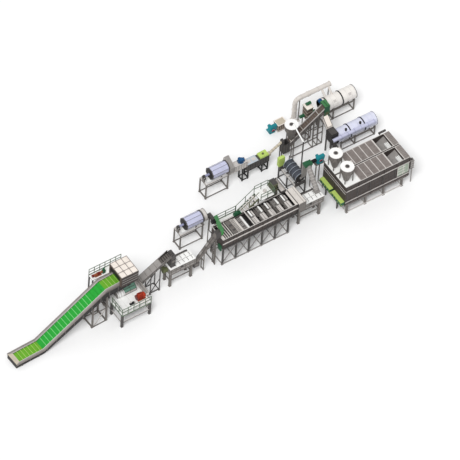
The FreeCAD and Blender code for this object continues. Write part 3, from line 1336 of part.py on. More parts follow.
def cyclone(name, x, y, low, supports):
    """Sheet cyclone: open cone under a short drum, flanged top with an outlet, side inlet, supports."""
    wall = "cyclone_wall"
    joint = f"{low} + cyclone_cone"
    top = f"{joint} + cyclone_drum"
    pieces = [frustum("0", "0", low, "cyclone_tip", "cyclone_radius", "cyclone_cone")]
    pieces.append(prism("z", "0", "0", joint, "cyclone_radius", "cyclone_drum", ROUND_SIDES))
    pieces.append(prism("z", "0", "0", f"{top} - cyclone_rim", "cyclone_radius + cyclone_rim",
                        "cyclone_rim", ROUND_SIDES))
    pieces.append(prism("z", "0", "0", f"{joint} - cyclone_rim", "cyclone_radius + cyclone_rim / 2",
                        "cyclone_rim", ROUND_SIDES))
    pieces.append(box("0", "cyclone_radius * 0.5 - cyclone_inlet / 2", f"{joint} + cyclone_inlet / 2",
                      "cyclone_radius * 1.25",
                      "cyclone_inlet", "cyclone_inlet"))
    hollow = [frustum("0", "0", low, f"cyclone_tip - {wall}", f"cyclone_radius - {wall}", "cyclone_cone")]
    hollow.append(prism("z", "0", "0", joint, f"cyclone_radius - {wall}", f"cyclone_drum - {wall}",
                        ROUND_SIDES))
    hollow.append(prism("z", "0", "0", joint, "cyclone_hole", "cyclone_drum * 2", ROUND_SIDES))
    node(name, [cut(fused(pieces + supports), hollow)], x, y)


def cyclones():
    """One cyclone over the steep conveyor with its dust pipe, and two over the settling tanks."""
    posts = []
    tall = "cyclone_one_low + cyclone_cone"
    for side in ("-cyclone_radius - slim_bar / 2", "cyclone_radius - slim_bar / 2"):
        posts.append(box("-slim_bar / 2", side, "0", "slim_bar", "slim_bar", tall))
    tie = "steep_y - cyclone_one_y - seat"
    posts.append(box("-slim_bar / 2", "-cyclone_radius - slim_bar / 2", "cyclone_tie", "slim_bar",
                     f"cyclone_radius + slim_bar / 2 + {tie}", "slim_bar"))
    cyclone("cyclone_one", "cyclone_one_x", "cyclone_one_y", "cyclone_one_low", posts)
    for name in ("cyclone_two", "cyclone_three"):
        legs = []
        for across in (1, -1):
            for along in (1, -1):
                legs.append(box(f"cyclone_radius * 0.7 * {across} - slim_bar / 2",
                                f"cyclone_radius * 0.7 * {along} - slim_bar / 2",
                                "settle_top", "slim_bar", "slim_bar", "cyclone_cone"))
        cyclone(name, f"{name}_x", f"{name}_y", "settle_top", legs)

    reach = "dust_reach"
    high = "cyclone_one_low + cyclone_cone + cyclone_drum"
    pieces = [box("-dust_radius * 2", "-dust_radius * 2", f"{high} + seat", "dust_radius * 4",
                  "dust_radius * 4", "sheet_wall")]
    pieces.append(rod("z", "0", "0", f"{high} + seat", "dust_radius", "dust_rise"))
    pieces.append(slant("y", "0", "0", f"{high} + dust_rise", "dust_radius", f"-{reach}", "-dust_fall"))
    pieces.append(rod("z", "0", f"-{reach}", "0", "dust_radius", f"{high} + dust_rise - dust_fall"))
    node("dust_pipe", pieces, "dust_x", "cyclone_one_y - cyclone_radius / 2")


def blower(name, x, y, z, duct):
    """Fan housing with its outlet, inlet cone, motor and foot."""
    middle = f"{z} + blower_radius + slim_bar"
    pieces = [rod("y", "0", "0", middle, "blower_radius", "blower_deep")]
    pieces.append(box("0", "0", f"{middle} + blower_radius * 0.2", duct, "blower_deep",
                      "blower_radius * 0.8"))
    pieces.append(rod("y", "0", "-blower_eye / 2", middle, "blower_eye", "blower_eye / 2"))
    pieces.append(rod("y", "0", "blower_deep", middle, "blower_eye", "blower_motor"))
    pieces.append(box("-blower_radius * 0.7", "0", z, "blower_radius * 1.4", "blower_deep + blower_motor",
                      "slim_bar"))
    pieces.append(box("-blower_radius * 0.35", "0", z, "blower_radius * 0.7", "blower_deep",
                      "blower_radius"))
    pieces.append(box("-blower_eye / 2", "blower_deep", z, "blower_eye", "blower_motor", "blower_radius"))
    node(name, pieces, x, y)


def elbow(x, z, start):
    """Segmented quarter bend of the hot-air pipe in the XZ plane, about its centre from a start angle."""
    pieces = []
    for at in range(3):
        low = f"({start + at * 30} * 1deg)"
        high = f"({start + at * 30 + 30} * 1deg)"
        reach = f"pipe_bend * (cos{high} - cos{low})"
        rise = f"pipe_bend * (sin{high} - sin{low})"
        lap = 0.2
        pieces.append(slant("x", f"({x}) + pipe_bend * cos{low} - ({reach}) * {lap}", "0",
                            f"({z}) + pipe_bend * sin{low} - ({rise}) * {lap}", "pipe_radius",
                            f"({reach}) * (1 + 2 * {lap})", f"({rise}) * (1 + 2 * {lap})"))
    return pieces


def hot_air():
    """Air heater with its blower and the pipe that carries hot air over the drier."""
    pieces = [box("0", "0", "0", "heater_long", "heater_wide", "heater_tall - slim_bar")]
    pieces.append(box("-rail", "-rail", "heater_tall - slim_bar", "heater_long + 2 * rail",
                      "heater_wide + 2 * rail", "slim_bar"))
    pieces.append(box("-rail", "-rail", "0", "heater_long + 2 * rail", "heater_wide + 2 * rail",
                      "slim_bar"))
    node("heater_box", pieces, "heater_x", "heater_y")
    blower("blower_one", "heater_x - blower_radius - frame_bar", "heater_y + frame_bar", "0",
           "blower_radius + frame_bar - rail")
    start = "heater_x + heater_long - pipe_x"
    end = "pipe_long + rail"
    pieces = [rod("x", start, "0", "pipe_low", "pipe_radius", f"-({start}) - pipe_bend")]
    pieces += elbow("-pipe_bend", "pipe_low + pipe_bend", -90)
    pieces.append(rod("z", "0", "0", "pipe_low + pipe_bend", "pipe_radius",
                      "pipe_high - pipe_low - 2 * pipe_bend"))
    pieces += elbow("pipe_bend", "pipe_high - pipe_bend", 90)
    pieces.append(rod("x", "pipe_bend", "0", "pipe_high", "pipe_radius", f"{end} - pipe_bend"))
    for at in (f"{end} - slim_bar", "pipe_long * 0.35"):
        pieces.append(rod("x", at, "0", "pipe_high", "pipe_radius + rail", "slim_bar"))
    pieces.append(rod("z", "0", "0", "(pipe_low + pipe_high) / 2", "pipe_radius + rail", "slim_bar"))
    for at in ("branch_one", "branch_two"):
        pieces.append(slant("y", at, "branch_back", "drier_middle + branch_lift", "branch_radius",
                            "-(branch_back)",
                            "pipe_high - drier_middle - branch_lift"))
    for at in ("pipe_bend", "pipe_long - frame_bar"):
        pieces.append(box(at, "-slim_bar / 2", "0", "slim_bar", "slim_bar",
                          "pipe_high - pipe_radius + rail"))
        pieces.append(box(f"{at} - frame_bar", "-frame_bar * 1.5", "0", "slim_bar + 2 * frame_bar",
                          "frame_bar * 3", "sheet_wall"))
    mouth = prism("x", "drier_x - pipe_x - frame_bar", "drier_y - pipe_y", "drier_middle",
                  "drier_radius + seat",
                  "drier_long + 2 * frame_bar", ROUND_SIDES)
    node("hot_air_pipe", [cut(fused(pieces), [mouth])], "pipe_x", "pipe_y")


def round_drier(name, x, y, long, radius, middle, rings, legs, wide, beside, ports):
    """Lying drier drum with riding rings and ports, on a stand whose saddles hold it."""
    pieces = [prism("x", "0", "0", middle, radius, long, ROUND_SIDES)]
    for at in rings:
        pieces.append(prism("x", at, "0", middle, f"{radius} + drier_ring", "frame_bar", ROUND_SIDES))
    for at in ("0", f"{long} - sheet_wall"):
        pieces.append(prism("x", at, "0", middle, f"{radius} + drier_ring / 2", "sheet_wall", ROUND_SIDES))
    pieces += ports
    node(f"{name}_drum", pieces, x, y)

    pieces = []
    half = f"{wide} / 2"
    top = f"{middle} - {radius} + saddle_lap"
    for at in legs:
        for side in (f"-{half}", f"{half} - frame_bar"):
            pieces.append(box(at, side, "0", "frame_bar", "frame_bar", top))
        pieces.append(box(at, f"-{half}", f"{middle} - {radius} - frame_bar * 2", "frame_bar", wide,
                          "frame_bar * 2 + saddle_lap"))
        pieces.append(box(at, f"-{half}", "0", "frame_bar", wide, "slim_bar"))
    for side in (f"-{half}", f"{half} - frame_bar"):
        pieces.append(box(legs[0], side, f"{middle} - {radius} - frame_bar * 2",
                          f"({legs[-1]}) - ({legs[0]})", "frame_bar", "frame_bar"))
        pieces.append(box(legs[0], side, "slim_bar", f"({legs[-1]}) - ({legs[0]})", "slim_bar", "slim_bar"))
    drum = prism("x", "-frame_bar", "0", middle, f"{radius} + seat", f"{long} + 2 * frame_bar", ROUND_SIDES)
    node(f"{name}_stand", [cut(fused(pieces), [drum])] + beside, x, y, apart=bool(beside))


def driers():
    """Hot-air drier with its motor, cooler drum with its header and inlet, and the chute between."""
    pieces = [rod("x", "-drier_motor", "-drier_radius / 2", "drier_middle", "drier_motor / 2",
                  "drier_motor")]
    pieces.append(box("-drier_motor", "-drier_radius / 2 - drier_motor / 2", "0", "frame_bar",
                      "drier_motor", "drier_middle"))
    round_drier("drier", "drier_x", "drier_y", "drier_long", "drier_radius", "drier_middle",
                ("drier_ring_one", "drier_ring_two"), ("drier_leg_one", "drier_leg_two",
                                                       "drier_leg_three"), "drier_stand_wide",
                [fused(pieces)], [])

    ports = []
    for at in ("cooler_port_one", "cooler_port_two"):
        ports.append(rod("z", at, "-cooler_radius * 0.4", "cooler_middle + cooler_radius * 0.5",
                         "port_radius", "cooler_radius * 0.7"))
    round_drier("cooler", "cooler_x", "cooler_y", "cooler_long", "cooler_radius", "cooler_middle",
                ("cooler_ring_one", "cooler_ring_two"), ("cooler_leg_one", "cooler_leg_two",
                                                         "cooler_leg_three"), "drier_stand_wide",
                [], ports)

    high = "cooler_middle + header_up"
    long = "cooler_long + inlet_long - frame_bar * 4"
    header = prism("x", "-inlet_long", "-header_out", high, "header_radius", long, ROD_SIDES)
    pieces = [box("-inlet_long", "-inlet_ahead", "inlet_low", "inlet_long - seat", "inlet_wide",
                  "inlet_top - inlet_low")]
    pieces.append(rod("y", "-inlet_long / 2", "inlet_wide - inlet_ahead", "inlet_low + inlet_motor",
                      "inlet_motor", "inlet_motor"))
    for x in ("-inlet_long", "-frame_bar * 2"):
        for y in ("-inlet_ahead", "inlet_wide - inlet_ahead - frame_bar"):
            pieces.append(box(x, y, "0", "frame_bar", "frame_bar", "inlet_low"))
    pieces.append(box("-inlet_long", "-header_out", "inlet_low", "inlet_long / 2",
                      "header_out - inlet_ahead", "header_up"))
    pieces.append(rod("z", "-inlet_long + header_radius", "-header_out", "0", "header_radius * 0.8", high))
    pieces.append(header)
    node("cooler_inlet", pieces, "cooler_x", "cooler_y")


def settle_tank(y):
    """Open sheet tank with rails along it and a sloped plate in its pit."""
    hollow = box("tank_wall", f"{y} + tank_wall", "settle_low + tank_wall", "settle_long - 2 * tank_wall",
                 "settle_wide - 2 * tank_wall",
                 "settle_top")
    low = "settle_top - settle_low - tank_wall"
    pieces = [cut(box("0", y, "settle_low", "settle_long", "settle_wide", low), [hollow])]
    start = "settle_deck + settle_panels * settle_panel"
    pieces.append(box(start, f"{y} + tank_wall", "settle_low", "sheet_wall", "settle_wide - 2 * tank_wall",
                      low))
    pieces.append(box(f"{start} + settle_pit", f"{y} + tank_wall", "settle_low", "sheet_wall",
                      "settle_wide - 2 * tank_wall", low))
    pieces.append(sloped(start, f"{y} + tank_wall", "settle_low + settle_slope", "settle_pit",
                         "settle_wide - 2 * tank_wall", "sheet_wall",
                         "settle_slope_rise"))
    for level in ("settle_rail_low", "settle_rail_top"):
        pieces.append(box("0", f"{y} - rail", level, "settle_long", "rail", "slim_bar"))
    for at in range(6):
        pieces.append(box(f"(settle_long - slim_bar) * {at} / 5", f"{y} - rail", "settle_low", "slim_bar",
                          "rail", low))
    return fused(pieces)


def settling():
    """Two settling tanks side by side with their decks, legs, guards and end boxes."""
    tanks = [settle_tank("0"), settle_tank("settle_wide + settle_gap")]
    node("settle_tanks", tanks, "settle_x", "settle_y", apart=True)

    pieces = []
    start = "settle_deck + settle_panels * settle_panel"
    for side in ("0", "settle_wide + settle_gap"):
        slabs = [box("0", side, "settle_top - tank_wall", f"{start} + sheet_wall", "settle_wide",
                     "tank_wall")]
        slabs.append(box(f"{start} + settle_pit", side, "settle_top - tank_wall",
                         f"settle_long - settle_pit - ({start})", "settle_wide",
                         "tank_wall"))
        slabs.append(box(f"{start}", side, "settle_top - tank_wall", "settle_pit + sheet_wall", "tank_wall",
                         "tank_wall"))
        slabs.append(box(f"{start}", f"{side} + settle_wide - tank_wall", "settle_top - tank_wall",
                         "settle_pit + sheet_wall",
                         "tank_wall", "tank_wall"))
        pieces.append(fused(slabs))
    node("settle_deck_plates", pieces, "settle_x", "settle_y", apart=True)

    pieces = []
    whole = "2 * settle_wide + settle_gap"
    for at in range(4):
        x = f"settle_leg_first + {at} * settle_leg_pitch"
        for y in ("0", f"({whole}) / 2 - settle_leg / 2", f"{whole} - settle_leg"):
            pieces.append(box(x, y, "0", "settle_leg", "settle_leg", "settle_low"))
        pieces.append(box(x, "0", "settle_low - settle_leg", "settle_leg", whole, "settle_leg"))
        pieces.append(box(x, "0", "frame_bar", "slim_bar", whole, "slim_bar"))
    for y in ("0", f"({whole}) / 2 - settle_leg / 2", f"{whole} - settle_leg"):
        pieces.append(box("settle_leg_first", y, "frame_bar", "3 * settle_leg_pitch", "slim_bar",
                          "slim_bar"))
        pieces.append(box("0", y, "settle_low - settle_leg", "settle_long", "settle_leg", "settle_leg"))
    frame = fused(pieces)

    pieces = []
    for side in ("0", "settle_wide + settle_gap"):
        pieces.append(box("-guard_long", f"{side} + tank_wall", "guard_low", "guard_long",
                          "settle_wide - 2 * tank_wall", "guard_tall"))
    pieces.append(box("-guard_long", "0", "settle_low + guard_tall / 4", "frame_bar",
                      "2 * settle_wide + settle_gap", "guard_tall / 4"))
    for y in ("settle_wide / 2", "settle_wide * 1.5 + settle_gap"):
        pieces.append(box("-guard_long / 2", y, "0", "frame_bar", "frame_bar", "guard_low"))
    guards = fused(pieces)

    pieces = [box("settle_long", "-end_box / 2", "end_box_low", "end_box", "end_box", "end_box * 3.2")]
    pieces.append(box("settle_long + end_box - slim_bar", "0", "0", "slim_bar", "slim_bar", "end_box_low"))
    pieces.append(box("settle_long", "0", "end_box_low + end_box", "end_box * 0.6", "end_box * 2.6",
                      "end_box"))
    stub = [box("settle_long - stub_long", whole, "settle_top - slim_bar", "slim_bar", "frame_bar * 2",
                "slim_bar")]
    stub.append(rod("x", "settle_long - stub_long", f"{whole} + frame_bar * 2", "settle_top", "frame_bar",
                    "stub_long * 0.8"))
    node("settle_guards", [guards, fused(pieces), fused(stub)], "settle_x", "settle_y", apart=True)

    foot = "settle_top - slim_bar"
    side = "bracket_x - settle_x"
    back = "bracket_y - settle_y"
    pieces = [box(f"{side} - blower_radius * 1.2", back, foot, "blower_radius * 2.4", "bracket_deep",
                  "slim_bar")]
    for x in (f"{side} - blower_radius * 1.2", f"{side} + blower_radius * 1.2 - slim_bar"):
        pieces.append(box(x, f"{back} + bracket_deep - slim_bar", "0", "slim_bar", "slim_bar", foot))
        pieces.append(box(x, back, "0", "slim_bar", "slim_bar", foot))
        pieces.append(box(x, back, "frame_bar", "slim_bar", "bracket_deep", "slim_bar"))
    node("settle_frame", [frame, fused(pieces)], "settle_x", "settle_y", apart=True)
    blower("blower_two", "bracket_x", "bracket_y + rail", "settle_top", "blower_radius * 1.1")


infeed()
crusher()
lift()
float_tank("float_tank_one", "float_one_x", True)
float_tank("float_tank_two", "float_two_x", False)
lift_screw()
wash_drum("one", "drum_one_x", "drum_one_y")
wash_drum("two", "drum_two_x", "drum_two_y")
drum_caps()
wash_tank()
paddle_wheels()
walkway()
rinse()
press()
steep()
cyclones()
hot_air()
driers()
settling()


def finish():
    """Recompute, check every object and write each node's solids."""
    document.recompute()
    bad = [item.Label for item in document.Objects if {"Invalid", "Error"} & set(item.State)]
    if bad:
        raise RuntimeError(f"objects that failed: {bad}")
    os.makedirs("parts", exist_ok=True)
    whole = FreeCAD.BoundBox()
    for item in NODES:
        shape = item.Shape
        if shape.isNull() or not shape.isValid() or not shape.Solids:
            raise RuntimeError(f"{item.Label} has no sound solid")
        shape.exportStep(f"parts/{item.Label}.step")
        whole.add(shape.BoundBox)
        print(f"{item.Label:20s} solids {len(shape.Solids):3d} faces {len(shape.Faces):4d}")
    print("box", whole)
    print("volume in cubic metres", sum(item.Shape.Volume for item in NODES) / 1e9)


finish()
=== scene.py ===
"""Looks of the half-size plastic washing line: paint, belts, louvres, blades, motors and fastenings."""

import logging
import math
from collections.abc import Callable, Sequence
from dataclasses import dataclass
from enum import Enum

import bmesh
import bpy
from mathutils import Matrix, Vector


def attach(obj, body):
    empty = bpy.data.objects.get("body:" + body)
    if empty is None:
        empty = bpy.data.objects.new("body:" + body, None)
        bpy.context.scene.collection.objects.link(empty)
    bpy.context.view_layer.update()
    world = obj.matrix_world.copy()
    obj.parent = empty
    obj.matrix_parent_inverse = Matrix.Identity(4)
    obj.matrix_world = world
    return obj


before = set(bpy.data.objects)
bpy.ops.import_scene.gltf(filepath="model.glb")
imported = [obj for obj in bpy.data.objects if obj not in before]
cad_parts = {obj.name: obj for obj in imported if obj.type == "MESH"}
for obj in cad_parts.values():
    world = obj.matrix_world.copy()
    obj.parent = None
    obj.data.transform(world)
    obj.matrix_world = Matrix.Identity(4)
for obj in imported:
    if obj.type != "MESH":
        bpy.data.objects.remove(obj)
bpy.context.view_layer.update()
LOG = logging.getLogger("washing_line")
SHIFT = Vector((1.1938, -0.79, 0.0))
ROUND_ANGLE = math.radians(31)
UP, FRONT, LEFT = (0, 0, 1), (0, -1, 0), (-1, 0, 0)
SHEEN = 0.25
BLOTCH_DETAIL = 6.0
BLOTCH_ROUGH = 0.65
RAMP = (0.32, 0.56)
FINE = 14.0
FINE_DETAIL = 3.0
RELIEF = 0.1
RELIEF_DEPTH = 0.004
Point = tuple[float, float, float] | Vector
Test = Callable[[Vector, Vector], bool]


class Tone(Enum):
    """Colours of the line's paints and bare materials, as display RGB from 0 to 255."""

    CREAM = (238, 229, 220)
    IVORY = (212, 206, 200)
    CHALK = (234, 230, 225)
    WHITE = (243, 243, 241)
    PALE = (205, 200, 196)
    GREY = (150, 146, 143)
    STONE = (112, 107, 103)
    SLATE = (78, 75, 74)
    SOOT = (68, 60, 57)
    DARK = (46, 44, 44)
    BLACK = (24, 24, 26)
    RUST = (132, 124, 120)
    BROWN = (96, 82, 74)
    SAND = (196, 186, 168)
    LAVENDER = (196, 198, 222)
    LILAC = (216, 218, 234)
    VIOLET = (152, 154, 184)
    STEEL = (88, 94, 106)
    FROST = (186, 194, 202)
    MIST = (150, 162, 146)
    BELT_GREEN = (36, 158, 52)
    MINT = (110, 196, 114)
    LEAF = (104, 168, 44)
    SPROUT = (160, 200, 98)
    LIME = (182, 206, 108)
    GUARD = (56, 146, 66)
    FERN = (70, 124, 78)
    CASING = (112, 156, 136)
    TEAL = (24, 128, 138)
    BLUE = (36, 84, 128)
    PINE = (40, 92, 62)
    OLIVE = (92, 96, 66)
    RAIL = (96, 112, 92)
    RED = (172, 56, 32)
    MAROON = (112, 34, 28)
    PINK = (216, 72, 96)
    ORANGE = (150, 84, 56)
    AMBER = (196, 150, 96)
    FLOOR = (247, 247, 247)


def linear(tone: Tone) -> Point:
    """Turns a display colour into the renderer's linear values.

    Args:
        tone: the colour.

    Returns:
        Linear red, green and blue.
    """
    parts = (part / 255.0 for part in tone.value)
    return tuple(part / 12.92 if part < 0.04045 else ((part + 0.055) / 1.055) ** 2.4 for part in parts)


@dataclass(frozen=True)
class Finish:
    """One paint or bare surface with a little wear.

    Args:
        tone: base colour.
        rough: roughness of the surface.
        metal: how metallic it is, from 0 to 1.
        wear: how far blotches darken it, from 0 to 1.
        grain: blotches per metre.
    """

    tone: Tone
    rough: float = 0.5
    metal: float = 0.0
    wear: float = 0.2
    grain: float = 5.0

    def material(self) -> bpy.types.Material:
        """Builds the procedural material once and returns it.

        Returns:
            The shared material of this finish.
        """
        name = f"{self.tone.name.lower()}_{self.rough:.2f}_{self.metal:.1f}_{self.wear:.2f}"
        found = bpy.data.materials.get(name)
        if found:
            return found
        made = bpy.data.materials.new(name)
        made.use_nodes = True
        tree = made.node_tree
        shader = tree.nodes["Principled BSDF"]
        shader.inputs["Roughness"].default_value = self.rough
        shader.inputs["Metallic"].default_value = self.metal
        shader.inputs["Specular IOR Level"].default_value = SHEEN
        place = tree.nodes.new("ShaderNodeTexCoord")
        blotch = tree.nodes.new("ShaderNodeTexNoise")
        blotch.inputs["Scale"].default_value = self.grain
        blotch.inputs["Detail"].default_value = BLOTCH_DETAIL
        blotch.inputs["Roughness"].default_value = BLOTCH_ROUGH
        tree.links.new(place.outputs["Object"], blotch.inputs["Vector"])
        ramp = tree.nodes.new("ShaderNodeValToRGB")
        colour = linear(self.tone)
        worn = tuple(part * (1.0 - self.wear) for part in colour)
        for stop, at, shade in zip(ramp.color_ramp.elements, RAMP, (worn, colour)):
            stop.position = at
            stop.color = (*shade, 1.0)
        tree.links.new(blotch.outputs["Fac"], ramp.inputs["Fac"])
        tree.links.new(ramp.outputs["Color"], shader.inputs["Base Color"])
        fine = tree.nodes.new("ShaderNodeTexNoise")
        fine.inputs["Scale"].default_value = self.grain * FINE
        fine.inputs["Detail"].default_value = FINE_DETAIL
        tree.links.new(place.outputs["Object"], fine.inputs["Vector"])
        relief = tree.nodes.new("ShaderNodeBump")
        relief.inputs["Strength"].default_value = RELIEF
        relief.inputs["Distance"].default_value = RELIEF_DEPTH
        tree.links.new(fine.outputs["Fac"], relief.inputs["Height"])
        tree.links.new(relief.outputs["Normal"], shader.inputs["Normal"])
        return made


CREAM = Finish(Tone.CREAM, rough=0.45, wear=0.08)
IVORY = Finish(Tone.IVORY, rough=0.35, wear=0.1)
CHALK = Finish(Tone.CHALK, rough=0.35, wear=0.08)
WHITE = Finish(Tone.WHITE, rough=0.45, wear=0.06)
PALE = Finish(Tone.PALE, wear=0.15)
GREY = Finish(Tone.GREY)
STONE = Finish(Tone.STONE)
SLATE = Finish(Tone.SLATE, rough=0.55, wear=0.25)
SOOT = Finish(Tone.SOOT, rough=0.55, wear=0.25)
DARK = Finish(Tone.DARK, rough=0.55, wear=0.25)
BLACK = Finish(Tone.BLACK)
RUST = Finish(Tone.RUST, rough=0.6)
BROWN = Finish(Tone.BROWN, rough=0.6, wear=0.25)
SAND = Finish(Tone.SAND, wear=0.15)
LAVENDER = Finish(Tone.LAVENDER, rough=0.4, wear=0.1)
LILAC = Finish(Tone.LILAC, rough=0.25, wear=0.1)
VIOLET = Finish(Tone.VIOLET, rough=0.4, wear=0.12)
STEEL = Finish(Tone.STEEL, rough=0.4, metal=0.5, wear=0.25)
FROST = Finish(Tone.FROST, rough=0.4, wear=0.12)
MIST = Finish(Tone.MIST, rough=0.35, wear=0.15)
BELT_GREEN = Finish(Tone.BELT_GREEN, rough=0.65, wear=0.15)
MINT = Finish(Tone.MINT, rough=0.65, wear=0.1)
LEAF = Finish(Tone.LEAF, rough=0.65, wear=0.12)
SPROUT = Finish(Tone.SPROUT, rough=0.65, wear=0.1)
LIME = Finish(Tone.LIME, wear=0.12)
GUARD = Finish(Tone.GUARD, rough=0.45, wear=0.15)
FERN = Finish(Tone.FERN, rough=0.45, wear=0.2)
CASING = Finish(Tone.CASING, rough=0.45, wear=0.15)
TEAL = Finish(Tone.TEAL, rough=0.4, wear=0.15)
BLUE = Finish(Tone.BLUE, rough=0.4, wear=0.15)
PINE = Finish(Tone.PINE, rough=0.45, wear=0.2)
OLIVE = Finish(Tone.OLIVE, wear=0.2)
RAIL = Finish(Tone.RAIL, wear=0.15)
RED = Finish(Tone.RED, rough=0.4, wear=0.12)
MAROON = Finish(Tone.MAROON, rough=0.4, wear=0.15)
PINK = Finish(Tone.PINK, rough=0.4, wear=0.12)
ORANGE = Finish(Tone.ORANGE, rough=0.45, wear=0.12)
AMBER = Finish(Tone.AMBER, rough=0.5, wear=0.15)
WET = Finish(Tone.DARK, rough=0.08, wear=0.3, grain=3.0)

Rule = tuple[Finish, Test]


def upward(limit: float = 0.6) -> Test:
    """Test for faces that look up.

    Args:
        limit: least upward part of the normal.

    Returns:
        The test, for use in a rule.
    """
    return lambda middle, normal: normal.z > limit


def within(low: Point, high: Point) -> Test:
    """Test for faces whose middle lies in a box.

    Args:
        low: lowest corner, in the machine's own frame.
        high: highest corner.

    Returns:
        The test, for use in a rule.
    """
    return lambda middle, normal: all(low[k] <= middle[k] <= high[k] for k in range(3))


def both(one: Test, other: Test) -> Test:
    """Test that holds where two tests hold.

    Args:
        one: first test.
        other: second test.

    Returns:
        The joint test.
    """
    return lambda middle, normal: one(middle, normal) and other(middle, normal)


def spread(low: float, high: float, count: int) -> list[float]:
    """Evenly spaced places from low to high, both included.

    Args:
        low: first place.
        high: last place.
        count: how many places.

    Returns:
        The places.
    """
    return [low + (high - low) * at / (count - 1) for at in range(count)]


def circle(middle: Point, radius: float, count: int, axis: int,
           first: float = 0.0) -> list[tuple[Vector, Vector]]:
    """Evenly spaced points of a circle about an axis.

    Args:
        middle: middle of the circle.
        radius: its radius.
        count: how many points.
        axis: axis that it turns about: 0, 1 or 2.
        first: turn of the first point, in degrees.

    Returns:
        Each point with its outward direction.
    """
    spots = []
    for at in range(count):
        turn = math.radians(360 / count * at + first)
        parts = [math.cos(turn), math.sin(turn)]
        parts.insert(axis, 0.0)
        spots.append((Vector(middle) + Vector(parts) * radius, Vector(parts)))
    return spots


def along(place: float, offset: Point, axis: int) -> Point:
    """Point that lies at an offset from a place on one axis.

    Args:
        place: the place on the axis.
        offset: the point, counted from that place.
        axis: 0, 1 or 2.

    Returns:
        The point.
    """
    return tuple(place + part if at == axis else part for at, part in enumerate(offset))


